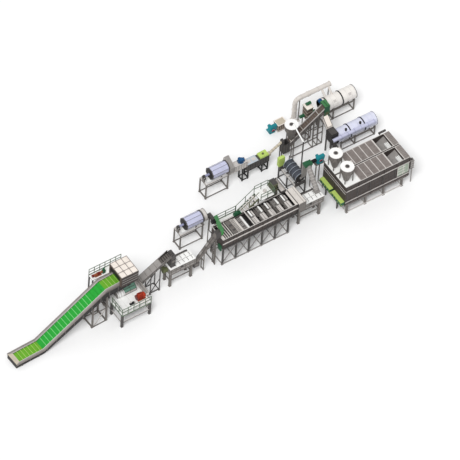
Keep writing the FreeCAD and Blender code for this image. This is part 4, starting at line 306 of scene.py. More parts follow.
class Pile:
    """Simple shapes gathered into one mesh, in a machine's own frame."""

    def __init__(self, name: str, place: Matrix) -> None:
        """Starts an empty pile.

        Args:
            name: name of the finished piece.
            place: the machine's place in the row frame.
        """
        self.name = name
        self.place = place
        self.mesh = bmesh.new()

    def _moved(self, verts: list, place: Matrix) -> None:
        """Moves new corners to their place.

        Args:
            verts: the corners just made.
            place: their transform.
        """
        bmesh.ops.transform(self.mesh, matrix=place, verts=verts)

    def block(self, low: Point, high: Point) -> "Pile":
        """Adds an upright box.

        Args:
            low: lowest corner.
            high: highest corner.

        Returns:
            This pile.
        """
        made = bmesh.ops.create_cube(self.mesh, size=1.0)
        a, b = Vector(low), Vector(high)
        size = Matrix.Diagonal((*(b - a), 1.0))
        self._moved(made["verts"], Matrix.Translation((a + b) / 2) @ size)
        return self

    def beam(self, start: Point, end: Point, wide: float, deep: float, top: Point = UP) -> "Pile":
        """Adds a bar between two points.

        Args:
            start: middle of one end.
            end: middle of the other end.
            wide: size across.
            deep: size along the top direction.
            top: direction that its top looks to.

        Returns:
            This pile.
        """
        a, b = Vector(start), Vector(end)
        along = (b - a).normalized()
        side = Vector(top).cross(along).normalized()
        up = along.cross(side)
        turn = Matrix((along, side, up)).transposed().to_4x4()
        made = bmesh.ops.create_cube(self.mesh, size=1.0)
        size = Matrix.Diagonal(((b - a).length, wide, deep, 1.0))
        self._moved(made["verts"], Matrix.Translation((a + b) / 2) @ turn @ size)
        return self

    def tube(self, start: Point, end: Point, radius: float, far: float | None = None,
        sides: int = 16) -> "Pile":
        """Adds a round bar, or a cone where its far radius differs.

        Args:
            start: middle of one end.
            end: middle of the other end.
            radius: radius at the start.
            far: radius at the end, the same when left out.
            sides: number of flat sides.

        Returns:
            This pile.
        """
        a, b = Vector(start), Vector(end)
        reach = b - a
        made = bmesh.ops.create_cone(
            self.mesh, cap_ends=True, segments=sides, radius1=radius,
            radius2=radius if far is None else far, depth=reach.length)
        turn = reach.to_track_quat("Z", "Y").to_matrix().to_4x4()
        self._moved(made["verts"], Matrix.Translation((a + b) / 2) @ turn)
        return self

    def slab(self, outline: Sequence[Point], thick: Point) -> "Pile":
        """Adds a plate from its flat outline.

        Args:
            outline: corners in order.
            thick: vector from this face to the other.

        Returns:
            This pile.
        """
        near = [self.mesh.verts.new(corner) for corner in outline]
        face = self.mesh.faces.new(near)
        grown = bmesh.ops.extrude_face_region(self.mesh, geom=[face])
        far = [item for item in grown["geom"] if isinstance(item, bmesh.types.BMVert)]
        bmesh.ops.translate(self.mesh, vec=Vector(thick), verts=far)
        return self

    def bolts(self, spots: Sequence[Point], way: Point, radius: float = 0.009,
        tall: float = 0.008) -> "Pile":
        """Adds hexagon bolt heads.

        Args:
            spots: where they sit.
            way: direction that they stand up in.
            radius: their radius.
            tall: their height.

        Returns:
            This pile.
        """
        out = Vector(way).normalized() * tall
        for spot in spots:
            self.tube(spot, tuple(Vector(spot) + out), radius, sides=6)
        return self

    def row(self, places: Sequence[float], low: Point, high: Point, axis: int = 0) -> "Pile":
        """Adds the same box at several places along an axis.

        Args:
            places: the places.
            low: lowest corner, counted from the place.
            high: highest corner, counted from the place.
            axis: 0, 1 or 2.

        Returns:
            This pile.
        """
        for place in places:
            self.block(along(place, low, axis), along(place, high, axis))
        return self

    def discs(self, places: Sequence[float], face: Point, thick: float, radius: float, sides: int = 28,
              axis: int = 0) -> "Pile":
        """Adds the same round plate at several places along an axis.

        Args:
            places: the places.
            face: middle of the first face, counted from the place.
            thick: thickness along the axis.
            radius: their radius.
            sides: number of flat sides.
            axis: 0, 1 or 2.

        Returns:
            This pile.
        """
        for place in places:
            start = along(place, face, axis)
            end = along(thick, start, axis)
            self.tube(start, end, radius, sides=sides)
        return self

    def pads(self, xs: Sequence[float], ys: Sequence[float], size: float, tall: float) -> "Pile":
        """Adds square foot plates on the floor.

        Args:
            xs: their left edges.
            ys: their front edges.
            size: their length and width.
            tall: their height.

        Returns:
            This pile.
        """
        for x in xs:
            self.row(ys, (x, 0.0, 0.0), (x + size, size, tall), axis=1)
        return self

    def collars(self, start: Vector, end: Vector, shares: Sequence[float], half: float, radius: float,
                sides: int = 28) -> "Pile":
        """Adds flanges round a slanted tube.

        Args:
            start: one end of the tube's axis.
            end: its other end.
            shares: where they sit, from 0 at the start to 1 at the end.
            half: half of their thickness.
            radius: their radius.
            sides: number of flat sides.

        Returns:
            This pile.
        """
        step = (end - start).normalized() * half
        for share in shares:
            spot = start.lerp(end, share)
            self.tube(spot - step, spot + step, radius, sides=sides)
        return self

    def piece(self, finish: Finish, slot: str) -> bpy.types.Object:
        """Turns the pile into a finished piece that belongs to the plant.

        Args:
            finish: its surface.
            slot: not used.

        Returns:
            The new object.
        """
        bmesh.ops.recalc_face_normals(self.mesh, faces=self.mesh.faces[:])
        bmesh.ops.transform(self.mesh, matrix=self.place, verts=self.mesh.verts[:])
        data = bpy.data.meshes.new(self.name)
        self.mesh.to_mesh(data)
        self.mesh.free()
        data.materials.append(finish.material())
        data.shade_smooth()
        data.set_sharp_from_angle(angle=ROUND_ANGLE)
        made = bpy.data.objects.new(self.name, data)
        bpy.context.scene.collection.objects.link(made)
        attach(made, "root")
        return made


@dataclass
class Machine:
    """A machine of the line: it adds its small pieces and paints its CAD nodes.

    Attributes:
        station: the machine's own zero on the line, in metres.
        turn: how far it is turned about the upright axis, in degrees.
    """

    station: Point = (0.0, 0.0, 0.0)
    turn: float = 0.0

    def __post_init__(self) -> None:
        """Starts with no piles."""
        self.piles: list[tuple[Pile, Finish, str]] = []

    def place(self) -> Matrix:
        """Place of the machine in the row frame.

        Returns:
            The transform.
        """
        turn = Matrix.Rotation(math.radians(self.turn), 4, "Z")
        return Matrix.Translation(SHIFT + Vector(self.station)) @ turn

    def pile(self, name: str, finish: Finish, slot: str) -> Pile:
        """Starts a pile in the machine's own frame.

        Args:
            name: name of the finished piece.
            finish: its surface.
            slot: name of a CAD node that is kept with the pile and passed to its piece, which does not use
                it.

        Returns:
            The empty pile.
        """
        made = Pile(name, self.place())
        self.piles.append((made, finish, slot))
        return made

    def close(self) -> None:
        """Turns the machine's piles into finished pieces."""
        for pile, finish, slot in self.piles:
            pile.piece(finish, slot)

    def paint(self, node: str, base: Finish, *rules: Rule, smooth: bool = False) -> None:
        """Paints a node; the first rule that a face passes picks its finish.

        Args:
            node: name of the node.
            base: finish of every face that no rule picks.
            rules: finish and test pairs; a test gets a face's middle and normal in the machine's frame.
            smooth: whether its many-sided parts are shaded as round.
        """
        back = self.place().inverted()
        turned = back.to_3x3()
        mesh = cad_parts[node].data
        mesh.materials.clear()
        mesh.materials.append(base.material())
        for finish, _ in rules:
            mesh.materials.append(finish.material())
        for face in mesh.polygons:
            middle = back @ face.center
            normal = turned @ face.normal
            found = (slot for slot, (_, test) in enumerate(rules, start=1) if test(middle, normal))
            face.material_index = next(found, 0)
        if smooth:
            mesh.shade_smooth()
            mesh.set_sharp_from_angle(angle=ROUND_ANGLE)
        else:
            mesh.shade_flat()

    def build(self) -> None:
        """Adds the machine's small pieces."""

    def dress(self) -> None:
        """Paints the machine's nodes."""


@dataclass
class Infeed(Machine):
    """Cleated belt conveyor that feeds the crusher.

    Attributes:
        station: middle of its low end.
        turn: its small turn off the line.
        half: half of its width.
        low: height of its low run.
        top: height of its head run.
        bend: where it starts to climb.
        crest: where it stops climbing.
        end: its whole length.
        deep: depth of its side walls.
        pulley: height of its end pulley.
    """

    station: Point = (-12.97, -1.685, 0.0)
    turn: float = 2.6
    half: float = 0.39
    low: float = 0.345
    top: float = 2.49
    bend: float = 1.65
    crest: float = 5.33
    end: float = 6.83
    deep: float = 0.59
    pulley: float = 0.235

    def height(self, x: float, drop: float = 0.0) -> float:
        """Height of the side walls' top edge.

        Args:
            x: distance from the low end.
            drop: how far below the edge.

        Returns:
            The height.
        """
        share = min(max((x - self.bend) / (self.crest - self.bend), 0.0), 1.0)
        return self.low + (self.top - self.low) * share - drop

    def floor(self, x: float) -> float:
        """Height of the side walls' lower edge.

        Args:
            x: distance from the low end.

        Returns:
            The height.
        """
        start = self.bend + 0.05
        share = min(max((x - start) / (self.crest - start), 0.0), 1.0)
        return 0.05 + (self.top - self.deep - 0.05) * share

    def build(self) -> None:
        """Adds skirts, ribs, bolts, strips, the belt's cleat caps, pulley ends and foot plates."""
        skirt = self.pile("infeed_skirts", DARK, "infeed_conveyor")
        ribs = self.pile("infeed_ribs", STONE, "infeed_conveyor")
        bolts = self.pile("infeed_bolts", DARK, "infeed_conveyor")
        strips = self.pile("infeed_strips", PALE, "infeed_conveyor")
        flanges = self.pile("infeed_flanges", RUST, "infeed_conveyor")
        stations = [0.0, self.bend, self.crest, self.end]
        for side in (-1.0, 1.0):
            y = side * (self.half + 0.001)
            corners = (0.01, self.bend + 0.05, self.crest, self.end - 0.02)
            lower = [(x, y, self.floor(x) + 0.012) for x in corners]
            upper = [(x, y, max(self.height(x, 0.235), self.floor(x) + 0.05)) for x in stations]
            upper[0] = (0.01, y, 0.2)
            upper[1] = (self.bend - 0.05, y, 0.2)
            upper[3] = (self.end - 0.02, y, upper[3][2])
            skirt.slab(lower + upper[::-1], (0, side * 0.006, 0))
            for x in spread(0.3, self.end - 0.25, 13):
                ribs.beam((x, y, self.floor(x) + 0.02), (x, y, self.height(x, 0.012)), 0.03, 0.022,
                    (0, side, 0))
            for x in spread(0.12, self.end - 0.12, 49):
                bolts.bolts([(x, y, self.height(x, 0.06)), (x, y, self.height(x, 0.19))], (0, side, 0))
            edge = [(x, side * (self.half - 0.08), self.height(x) + 0.004) for x in [0.25, *stations[1:]]]
            rim = [(x, side * (self.half + 0.03), self.height(x) - 0.012) for x in stations]
            for pile, trace, wide, deep in ((strips, edge, 0.022, 0.01), (flanges, rim, 0.062, 0.024)):
                for start, end in zip(trace, trace[1:]):
                    pile.beam(start, end, wide, deep)

        flat = self.pile("infeed_flat_cleats", SPROUT, "infeed_belt")
        caps = self.pile("infeed_cleat_caps", MINT, "infeed_belt")
        pitch = 0.206
        for at in range(1, 7):
            for start, level in ((0.25, self.low), (self.crest, self.top)):
                x = start + at * pitch + 0.006
                flat.block((x - 0.016, -0.288, level - 0.02), (x + 0.016, 0.288, level - 0.008))
        slope = (self.top - self.low) / (self.crest - self.bend)
        for at in range(1, 15):
            x = self.bend + at * pitch + 0.006
            z = self.height(x) - 0.016
            caps.beam((x - 0.016, 0, z - 0.016 * slope), (x + 0.016, 0, z + 0.016 * slope), 0.576, 0.012)

        ends = self.pile("infeed_pulleys", DARK, "infeed_conveyor")
        ends.tube((0.3, -0.29, self.pulley), (0.3, 0.29, self.pulley), 0.04, sides=24)
        for side in (-1.0, 1.0):
            y = side * self.half
            ends.block((0.24, min(y, y + side * 0.022), 0.17), (0.38, max(y, y + side * 0.022), 0.3))
            ends.tube((0.31, y, self.pulley), (0.31, y + side * 0.034, self.pulley), 0.038)
            ends.block((self.end - 0.34, min(y, y + side * 0.022), 2.2),
                (self.end - 0.12, max(y, y + side * 0.022), 2.4))

        feet = self.pile("infeed_feet", STONE, "infeed_stand")
        for x in (4.56, 5.39):
            for y in (-self.half, self.half - 0.075):
                feet.block((x - 0.03, y - 0.03 if y > 0 else y - 0.008, 0.0),
                    (x + 0.105, y + 0.083 if y > 0 else y + 0.105, 0.012))
                feet.bolts([(x - 0.015, y + 0.037, 0.012), (x + 0.09, y + 0.037, 0.012)], UP, 0.01)

    def dress(self) -> None:
        """Paints the conveyor, its belt and its stand."""
        edge = (GREY, both(upward(0.5), lambda c, n: abs(c.y) > self.half - 0.1
            and c.z > self.height(c.x, 0.03)))
        plate = (SAND, both(upward(0.9), lambda c, n: c.x < 0.24))
        tail = (DARK, lambda c, n: n.x < -0.9)
        outside = (STONE, lambda c, n: abs(n.y) > 0.9 and abs(c.y) > self.half - 0.01)
        self.paint("infeed_conveyor", STONE, edge, plate, tail, outside)
        flat = (LEAF, lambda c, n: c.x > self.crest - 0.01 or c.x < self.bend)
        self.paint("infeed_belt", BELT_GREEN, flat)
        braces = (PALE, lambda c, n: max(abs(part) for part in n) < 0.95)
        self.paint("infeed_stand", STONE, braces)


@dataclass
class Crusher(Machine):
    """Crusher under its hood on the front platform, with its rear platform, motor and pump.

    Attributes:
        station: low corner of the hood.
        long: size of the hood along the line.
        wide: size of the hood across the line.
        low: height of the hood's lower edge.
        top: height of its roof.
        deck: height of the front platform.
        rear_deck: height of the rear platform.
        wheel_y: place of the wheel's axis across the line.
        wheel_z: its height.
        pump_y: place of the pump motor's axis across the line.
        pump_z: its height.
        drive_y: place of the rear drive's axis across the line.
        drive_z: its height.
    """

    station: Point = (-6.88, -2.01, 0.0)
    long: float = 1.0
    wide: float = 1.11
    low: float = 2.4
    top: float = 3.1
    deck: float = 0.95
    rear_deck: float = 2.4
    wheel_y: float = 0.524
    wheel_z: float = 1.12
    pump_y: float = -0.12
    pump_z: float = 1.15
    drive_y: float = 1.26
    drive_z: float = 2.53

    def build(self) -> None:
        """Adds curtain, louvres, ribs, bands, the wheel's face, fins, skirts, seams, drives and bolts."""
        (self.pile("hood_curtain", BLACK, "crusher_hood")
         .row(spread(0.175, 0.915, 9), (0.01, 0.0, 2.72), (0.016, 0.078, 3.01), axis=1))

        louvres = self.pile("hood_louvres", STONE, "crusher_hood")
        for z in spread(2.47, 3.03, 9):
            louvres.beam((0.05, -0.004, z), (0.95, -0.004, z), 0.016, 0.004, (0, 0.5, 1))
        louvres.row(spread(0.14, 0.97, 6), (self.long, 0.0, 2.6), (self.long + 0.006, 0.05, 2.95), axis=1)

        panels = self.pile("hood_panel_bolts", RUST, "crusher_hood")
        for x in (0.06, 0.28, 0.38, 0.6, 0.71, 0.94):
            panels.bolts([(x, y, self.top) for y in (0.07, 0.3, 0.42, 0.67, 0.79, 1.04)], UP, 0.008, 0.006)

        (self.pile("housing_ribs", STONE, "crusher_body")
         .row(spread(0.17, 0.83, 6), (-0.01, 0.652, 1.36), (0.01, 0.66, 1.88))
         .row((1.4, 1.64, 1.87), (0.14, 0.65, -0.012), (0.86, 0.66, 0.012), axis=2))

        bands = self.pile("casing_bands", SLATE, "crusher_body")
        for x in (0.545, 0.89, 1.225):
            bands.slab([(x, 0.414, 0.952), (x, 0.414, 1.154), (x, 0.655, 1.357), (x, 0.655, 0.952)],
                (0.018, 0, 0))
        bands.block((0.53, 0.412, 0.95), (1.25, 0.424, 0.985))
        for y, z in ((0.414, 1.154), (0.535, 1.256), (0.655, 1.357)):
            bands.beam((0.53, y, z), (1.25, y, z), 0.022, 0.012, (0, -1, 1))

        (self.pile("wheel_face", GREY, "crusher_body")
         .tube((0.118, self.wheel_y, self.wheel_z), (0.132, self.wheel_y, self.wheel_z), 0.165, sides=32)
         .tube((0.1, self.wheel_y, self.wheel_z), (0.125, self.wheel_y, self.wheel_z), 0.055)
         .discs((0.19, 0.33, 0.47), (-0.008, self.wheel_y, self.wheel_z), 0.016, 0.1735, sides=32))

        (self.pile("motor_fins", MAROON, "water_pump")
         .discs(spread(0.93, 1.18, 9), (0.0, self.pump_y, self.pump_z), 0.008, 0.15, sides=32)
         .tube((0.862, self.pump_y, self.pump_z), (0.9, self.pump_y, self.pump_z), 0.147, sides=32)
         .block((0.96, -0.14, 1.376), (1.14, -0.06, 1.386)))

        (self.pile("motor_bracket", AMBER, "water_pump")
         .tube((1.335, self.pump_y, self.pump_z), (1.385, self.pump_y, self.pump_z), 0.035)
         .block((1.18, -0.26, 0.951), (1.37, 0.05, 0.985))
         .beam((1.28, -0.24, 0.98), (1.28, -0.14, 1.08), 0.1, 0.02, (0, -1, 1)))

        (self.pile("small_pump_parts", PALE, "water_pump")
         .tube((0.67, -0.24, 1.05), (0.7, -0.24, 1.05), 0.075, sides=20)
         .tube((0.468, -0.24, 1.18), (0.468, -0.24, 1.21), 0.05))

        (self.pile("platform_skirts", RAIL, "front_platform")
         .block((-0.27, -0.614, 0.9), (1.46, -0.608, 0.99))
         .block((-0.274, -0.61, 0.9), (-0.268, 0.336, 0.99))
         .block((-0.96, 1.484, 2.395), (0.94, 1.492, 2.47)))

        (self.pile("platform_seams", PALE, "front_platform")
         .row(spread(-0.06, 1.25, 5), (0.0, -0.6, 0.95), (0.006, 1.1, 0.9525))
         .row(spread(-0.8, 0.8, 6), (0.0, 1.115, 2.4), (0.006, 1.48, 2.4025)))

        (self.pile("rear_drive", ORANGE, "rear_platform")
         .tube((-0.82, self.drive_y, self.drive_z), (-0.3, self.drive_y, self.drive_z), 0.055, sides=24)
         .discs(spread(-0.74, -0.42, 7), (0.0, self.drive_y, self.drive_z), 0.012, 0.063, sides=24)
         .block((-0.74, 1.18, 2.402), (-0.38, 1.34, 2.46)))
        (self.pile("rear_drive_cap", MAROON, "rear_platform")
         .tube((-0.9, self.drive_y, self.drive_z), (-0.81, self.drive_y, self.drive_z), 0.07, sides=24)
         .tube((-0.6, self.drive_y, self.drive_z), (-0.46, self.drive_y, self.drive_z), 0.07, sides=24))
        (self.pile("rear_gearbox", PINE, "rear_platform")
         .block((-0.3, 1.19, 2.402), (-0.14, 1.33, 2.6))
         .tube((-0.22, self.drive_y, 2.6), (-0.22, self.drive_y, 2.72), 0.055, sides=20))

        pads = self.pile("platform_pad_bolts", DARK, "front_platform")
        for x in (-0.215, 1.405):
            for y in (-0.555, 0.391, 1.055):
                spots = [(x + dx, y + dy, 0.014) for dx in (-0.07, 0.07) for dy in (-0.07, 0.07)]
                pads.bolts(spots, UP, 0.009, 0.01)

        (self.pile("drive_pulley", STONE, "crusher_drive")
         .tube((-0.245, 0.87, 1.45), (-0.252, 0.87, 1.45), 0.12, sides=28)
         .row(spread(1.33, 1.57, 6), (-0.2, 0.655, 0.0), (-0.08, 0.66, 0.018), axis=2))

    def dress(self) -> None:
        """Paints the hood, housing, platforms, railings, motor and pump."""
        grid = (RUST, lambda c, n: c.z > self.top + 0.002)
        roof = (CREAM, both(upward(), lambda c, n: c.z > self.top - 0.005))
        slats = (GREY, lambda c, n: c.y < -0.001)
        front = (SOOT, lambda c, n: n.y < -0.6 and c.y < 0.01 and c.z > self.low)
        rear = (CREAM, lambda c, n: (n.y > 0.6 and c.y > self.wide - 0.01)
            or (n.x > 0.6 and c.x > self.long - 0.01))
        left = (BROWN, lambda c, n: n.x < -0.6 and c.x < 0.01)
        self.paint("crusher_hood", SLATE, grid, roof, slats, front, rear, left)
        wheel = (WHITE, both(within((0.12, 0.3, 0.9), (0.535, 0.7, 1.32)), lambda c, n: c.y < 0.659))
        top = (CASING, both(within((0.52, 0.3, 0.9), (1.26, 0.659, 1.4)), upward(0.2)))
        casing = (PALE, within((0.52, 0.3, 0.9), (1.26, 0.659, 1.4)))
        self.paint("crusher_body", SLATE, wheel, top, casing, smooth=True)
        self.paint("crusher_drive", DARK)
        top = (WHITE, both(upward(), lambda c, n: c.z > self.deck - 0.01))
        pads = (WHITE, lambda c, n: c.z < 0.016)
        ties = (PALE, lambda c, n: 0.375 < c.z < 0.425 and abs(n.z) > 0.5)
        self.paint("front_platform", SLATE, top, pads, ties)
        self.paint("front_railing", RAIL)
        deck = (WHITE, both(upward(), lambda c, n: abs(c.z - self.rear_deck) < 0.005))
        rails = (RAIL, lambda c, n: c.z > self.rear_deck + 0.002)
        self.paint("rear_platform", SLATE, deck, rails)
        foot = (ORANGE, lambda c, n: c.x > 0.8 and c.z < 1.02)
        box = (MAROON, lambda c, n: c.x > 0.8 and c.z > 1.25 and abs(n.x) > 0.9)
        motor = (RED, lambda c, n: c.x > 0.8)
        base = (WHITE, lambda c, n: c.z < 0.995)
        self.paint("water_pump", BLACK, foot, box, motor, base, smooth=True)


@dataclass
class Lift(Machine):
    """First trough conveyor with its head, stand and cross trough.

    Attributes:
        station: low corner of the trough.
        long: reach of the trough.
        wide: width of the trough.
        low: height of its low end.
        rise: climb of the trough.
        deep: depth of the trough.
    """

    station: Point = (-5.3, -1.55, 0.0)
    long: float = 1.7
    wide: float = 0.4
    low: float = 1.08
    rise: float = 1.02
    deep: float = 0.22

    def height(self, x: float) -> float:
        """Height of the trough's rim.

        Args:
            x: distance from the low end.

        Returns:
            The height.
        """
        return self.low + self.rise * x / self.long + self.deep

    def build(self) -> None:
        """Adds ribs, lid seams, drag bars, head bands, a hatch, trough rims and foot plates."""
        ribs = self.pile("lift_ribs", SLATE, "lift_conveyor")
        for x in spread(0.1, 1.6, 7):
            for y, side in ((0.0, -1.0), (self.wide, 1.0)):
                ribs.beam((x, y + side * 0.008, self.height(x) - self.deep),
                    (x, y + side * 0.008, self.height(x)), 0.024, 0.016, (0, side, 0))
        for y, side in ((0.0, -1.0), (self.wide, 1.0)):
            ribs.beam((0.01, y + side * 0.006, self.height(0.01) - 0.012),
                (1.69, y + side * 0.006, self.height(1.69) - 0.012), 0.012, 0.024)

        lid = self.pile("lift_lid_seams", STONE, "lift_conveyor")
        for x in spread(0.06, 1.14, 5):
            lid.beam((x, 0.01, self.height(x) + 0.003), (x, 0.39, self.height(x) + 0.003), 0.022, 0.006)
            lid.bolts([(x, y, self.height(x) + 0.004) for y in spread(0.04, 0.36, 5)], (-0.5, 0, 1), 0.007,
                0.006)

        bars = self.pile("lift_drag_bars", DARK, "lift_conveyor")
        for x in spread(1.22, 1.64, 5):
            bars.beam((x, 0.024, self.height(x) - 0.175), (x, 0.376, self.height(x) - 0.175), 0.026, 0.03)

        (self.pile("lift_head_bands", DARK, "lift_conveyor")
         .discs((0.015, 0.135, 0.255, 0.37), (1.835, 0.0, 2.1), 0.018, 0.1425, axis=1)
         .row((1.34, 1.6, 1.86), (1.698, -0.006, 0.0), (1.974, 0.406, 0.02), axis=2))

        (self.pile("lift_head_hatch", STONE, "lift_conveyor")
         .block((1.76, -0.01, 1.66), (1.91, -0.002, 1.84))
         .bolts([(x, -0.01, z) for x in (1.775, 1.895) for z in (1.675, 1.825)], FRONT, 0.006, 0.005))

        (self.pile("cross_trough_rim", RUST, "cross_trough")
         .block((-0.206, -0.686, 1.232), (-0.194, 0.406, 1.246))
         .block((-0.026, -0.686, 1.232), (-0.014, 0.406, 1.246))
         .row(spread(-0.62, 0.34, 5), (-0.208, 0.0, 1.09), (-0.2, 0.02, 1.236), axis=1))

        feet = self.pile("lift_feet", STONE, "lift_stand")
        for x in (0.5, 1.04):
            feet.row((-0.04, self.wide), (x - 0.03, -0.02, 0.0), (x + 0.07, 0.06, 0.01), axis=1)

    def dress(self) -> None:
        """Paints the trough, its stand and its cross trough."""
        lid = (GREY, both(upward(0.5), lambda c, n: c.x < 1.25 and c.z > self.height(c.x) - 0.02))
        head = (SLATE, lambda c, n: c.x > 1.69)
        inside = (DARK, lambda c, n: 0.015 < c.y < 0.385 and c.x > 1.15)
        self.paint("lift_conveyor", STONE, lid, head, inside, smooth=True)
        self.paint("lift_stand", SLATE)
        below = (RUST, lambda c, n: c.z < 1.07)
        floor = (GREY, both(upward(), lambda c, n: c.z < 1.12))
        self.paint("cross_trough", PALE, below, floor)


@dataclass
class FloatTank(Machine):
    """Float tank on thick legs.

    Attributes:
        node: its CAD node.
        long: length.
        wide: width.
        top: height of its top.
    """

    node: str = "float_tank_one"
    long: float = 1.5164
    wide: float = 0.6
    top: float = 1.3

    def build(self) -> None:
        """Adds lids with handles, side seams, the front bracket and foot plates."""
        lids = self.pile(f"{self.node}_lids", WHITE, self.node)
        for x in spread(0.03, self.long - 0.49, 3):
            lids.row((0.025, 0.31), (x, 0.0, self.top), (x + 0.44, 0.262, self.top + 0.007), axis=1)

        handles = self.pile(f"{self.node}_handles", STONE, self.node)
        for x in spread(0.14, self.long - 0.14, 6):
            for y in (0.09, 0.36):
                for end in (y, y + 0.16):
                    handles.tube((x, end, self.top), (x, end, self.top + 0.05), 0.01, sides=8)
                handles.tube((x, y - 0.01, self.top + 0.05), (x, y + 0.17, self.top + 0.05), 0.01, sides=8)
        handles.block((0.02, 0.294, self.top + 0.007), (self.long - 0.02, 0.304, self.top + 0.013))

        (self.pile(f"{self.node}_seams", STONE, self.node)
         .row(spread(0.06, self.long - 0.09, 6), (0.0, -0.012, 0.91), (0.026, 0.0, self.top - 0.005))
         .row(spread(0.06, 0.52, 4), (-0.008, 0.0, 0.93), (0.0, 0.02, self.top - 0.02), axis=1))

        x, z = self.long * 0.42, self.top - 0.03
        (self.pile(f"{self.node}_mounts", SLATE, self.node)
         .block((x, -0.05, self.top - 0.1), (x + 0.1, -0.018, self.top + 0.03))
         .tube((x + 0.05, -0.05, z), (x + 0.05, -0.062, z), 0.025))

        self.pile(f"{self.node}_feet", STONE, self.node).pads((-0.02, 1.21), (-0.02, 0.47), 0.15, 0.012)

    def dress(self) -> None:
        """Paints the tank."""
        motor = (OLIVE, lambda c, n: c.x < -0.001)
        top = (WHITE, both(upward(), lambda c, n: c.z > self.top - 0.005 and c.y < self.wide))
        beam = (SLATE, lambda c, n: c.y > self.wide + 0.001)
        sides = (GREY, lambda c, n: c.z > 0.901 and c.y > -0.001)
        self.paint(self.node, STONE, motor, top, beam, sides, smooth=True)


@dataclass
class LiftScrew(Machine):
    """Inclined screw between the first float tank and the washing tank, with its belt guard.

    Attributes:
        station: point under the middle of its boot.
        reach: how far it reaches along the line.
        low: height of its axis at the boot.
        top: height of its axis at the head.
        radius: radius of the tube.
    """

    station: Point = (-2.11, -1.55, 0.0)
    reach: float = 1.18
    low: float = 0.79
    top: float = 2.33
    radius: float = 0.125

    def at(self, share: float) -> Vector:
        """Point on the screw's axis.

        Args:
            share: 0 at the boot, 1 at the head.

        Returns:
            The point.
        """
        return Vector((self.reach * share, 0.0, self.low + (self.top - self.low) * share))

    def build(self) -> None:
        """Adds flanges, edge strips, hatches, boot bolts, and the guard's covers and motor fins."""
        way = (self.at(1.0) - self.at(0.0)).normalized()
        up = Vector((-way.z, 0, way.x))
        flanges = self.pile("screw_flanges", SLATE, "lift_screw")
        flanges.collars(self.at(0.0), self.at(1.0), spread(0.2, 0.86, 5), 0.008, self.radius + 0.016)
        for across in (-0.07, 0.07):
            edge = Vector((0, across, 0)) + up * (self.radius - 0.012)
            flanges.beam(self.at(0.16) + edge, self.at(0.9) + edge, 0.02, 0.02, up)

        hatch = self.pile("screw_hatches", GREY, "lift_screw")
        for share in (0.33, 0.62):
            ends = (self.at(share + step) + up * self.radius for step in (-0.06, 0.06))
            hatch.beam(*ends, 0.1, 0.012, up)

        (self.pile("screw_boot_bolts", STONE, "lift_screw")
         .bolts([(x, -0.1255, z) for x in (-0.14, 0.0, 0.14) for z in (0.59, 0.86)], FRONT)
         .block((-0.1, -0.134, 0.64), (0.1, -0.125, 0.8)))

        guard = self.pile("guard_cover", FERN, "belt_guard")
        for low, high, rise in ((-0.125, 0.11, 0.0), (0.12, 0.34, 0.19), (0.35, 0.575, 0.37)):
            start, end = (1.44, low, 2.435 + rise), (1.44, high, 2.435 + rise + 0.77 * (high - low))
            guard.beam(start, end, 0.2, 0.02)

        (self.pile("guard_motor_fins", BLACK, "belt_guard")
         .discs(spread(1.18, 1.34, 5), (0.0, 0.465, 2.72), 0.008, 0.115, sides=24))

    def dress(self) -> None:
        """Paints the screw and its guard."""
        boot = (SLATE, lambda c, n: c.x < 0.17 and 0.55 < c.z < 0.9)
        head = (SLATE, lambda c, n: c.x > 1.07 and c.z > 2.0)
        legs = (STONE, lambda c, n: abs(n.x) > 0.98 or abs(n.y) > 0.98)
        self.paint("lift_screw", STONE, boot, head, legs, smooth=True)
        motor = (BLACK, lambda c, n: c.x < 1.375)
        self.paint("belt_guard", GUARD, motor, smooth=True)


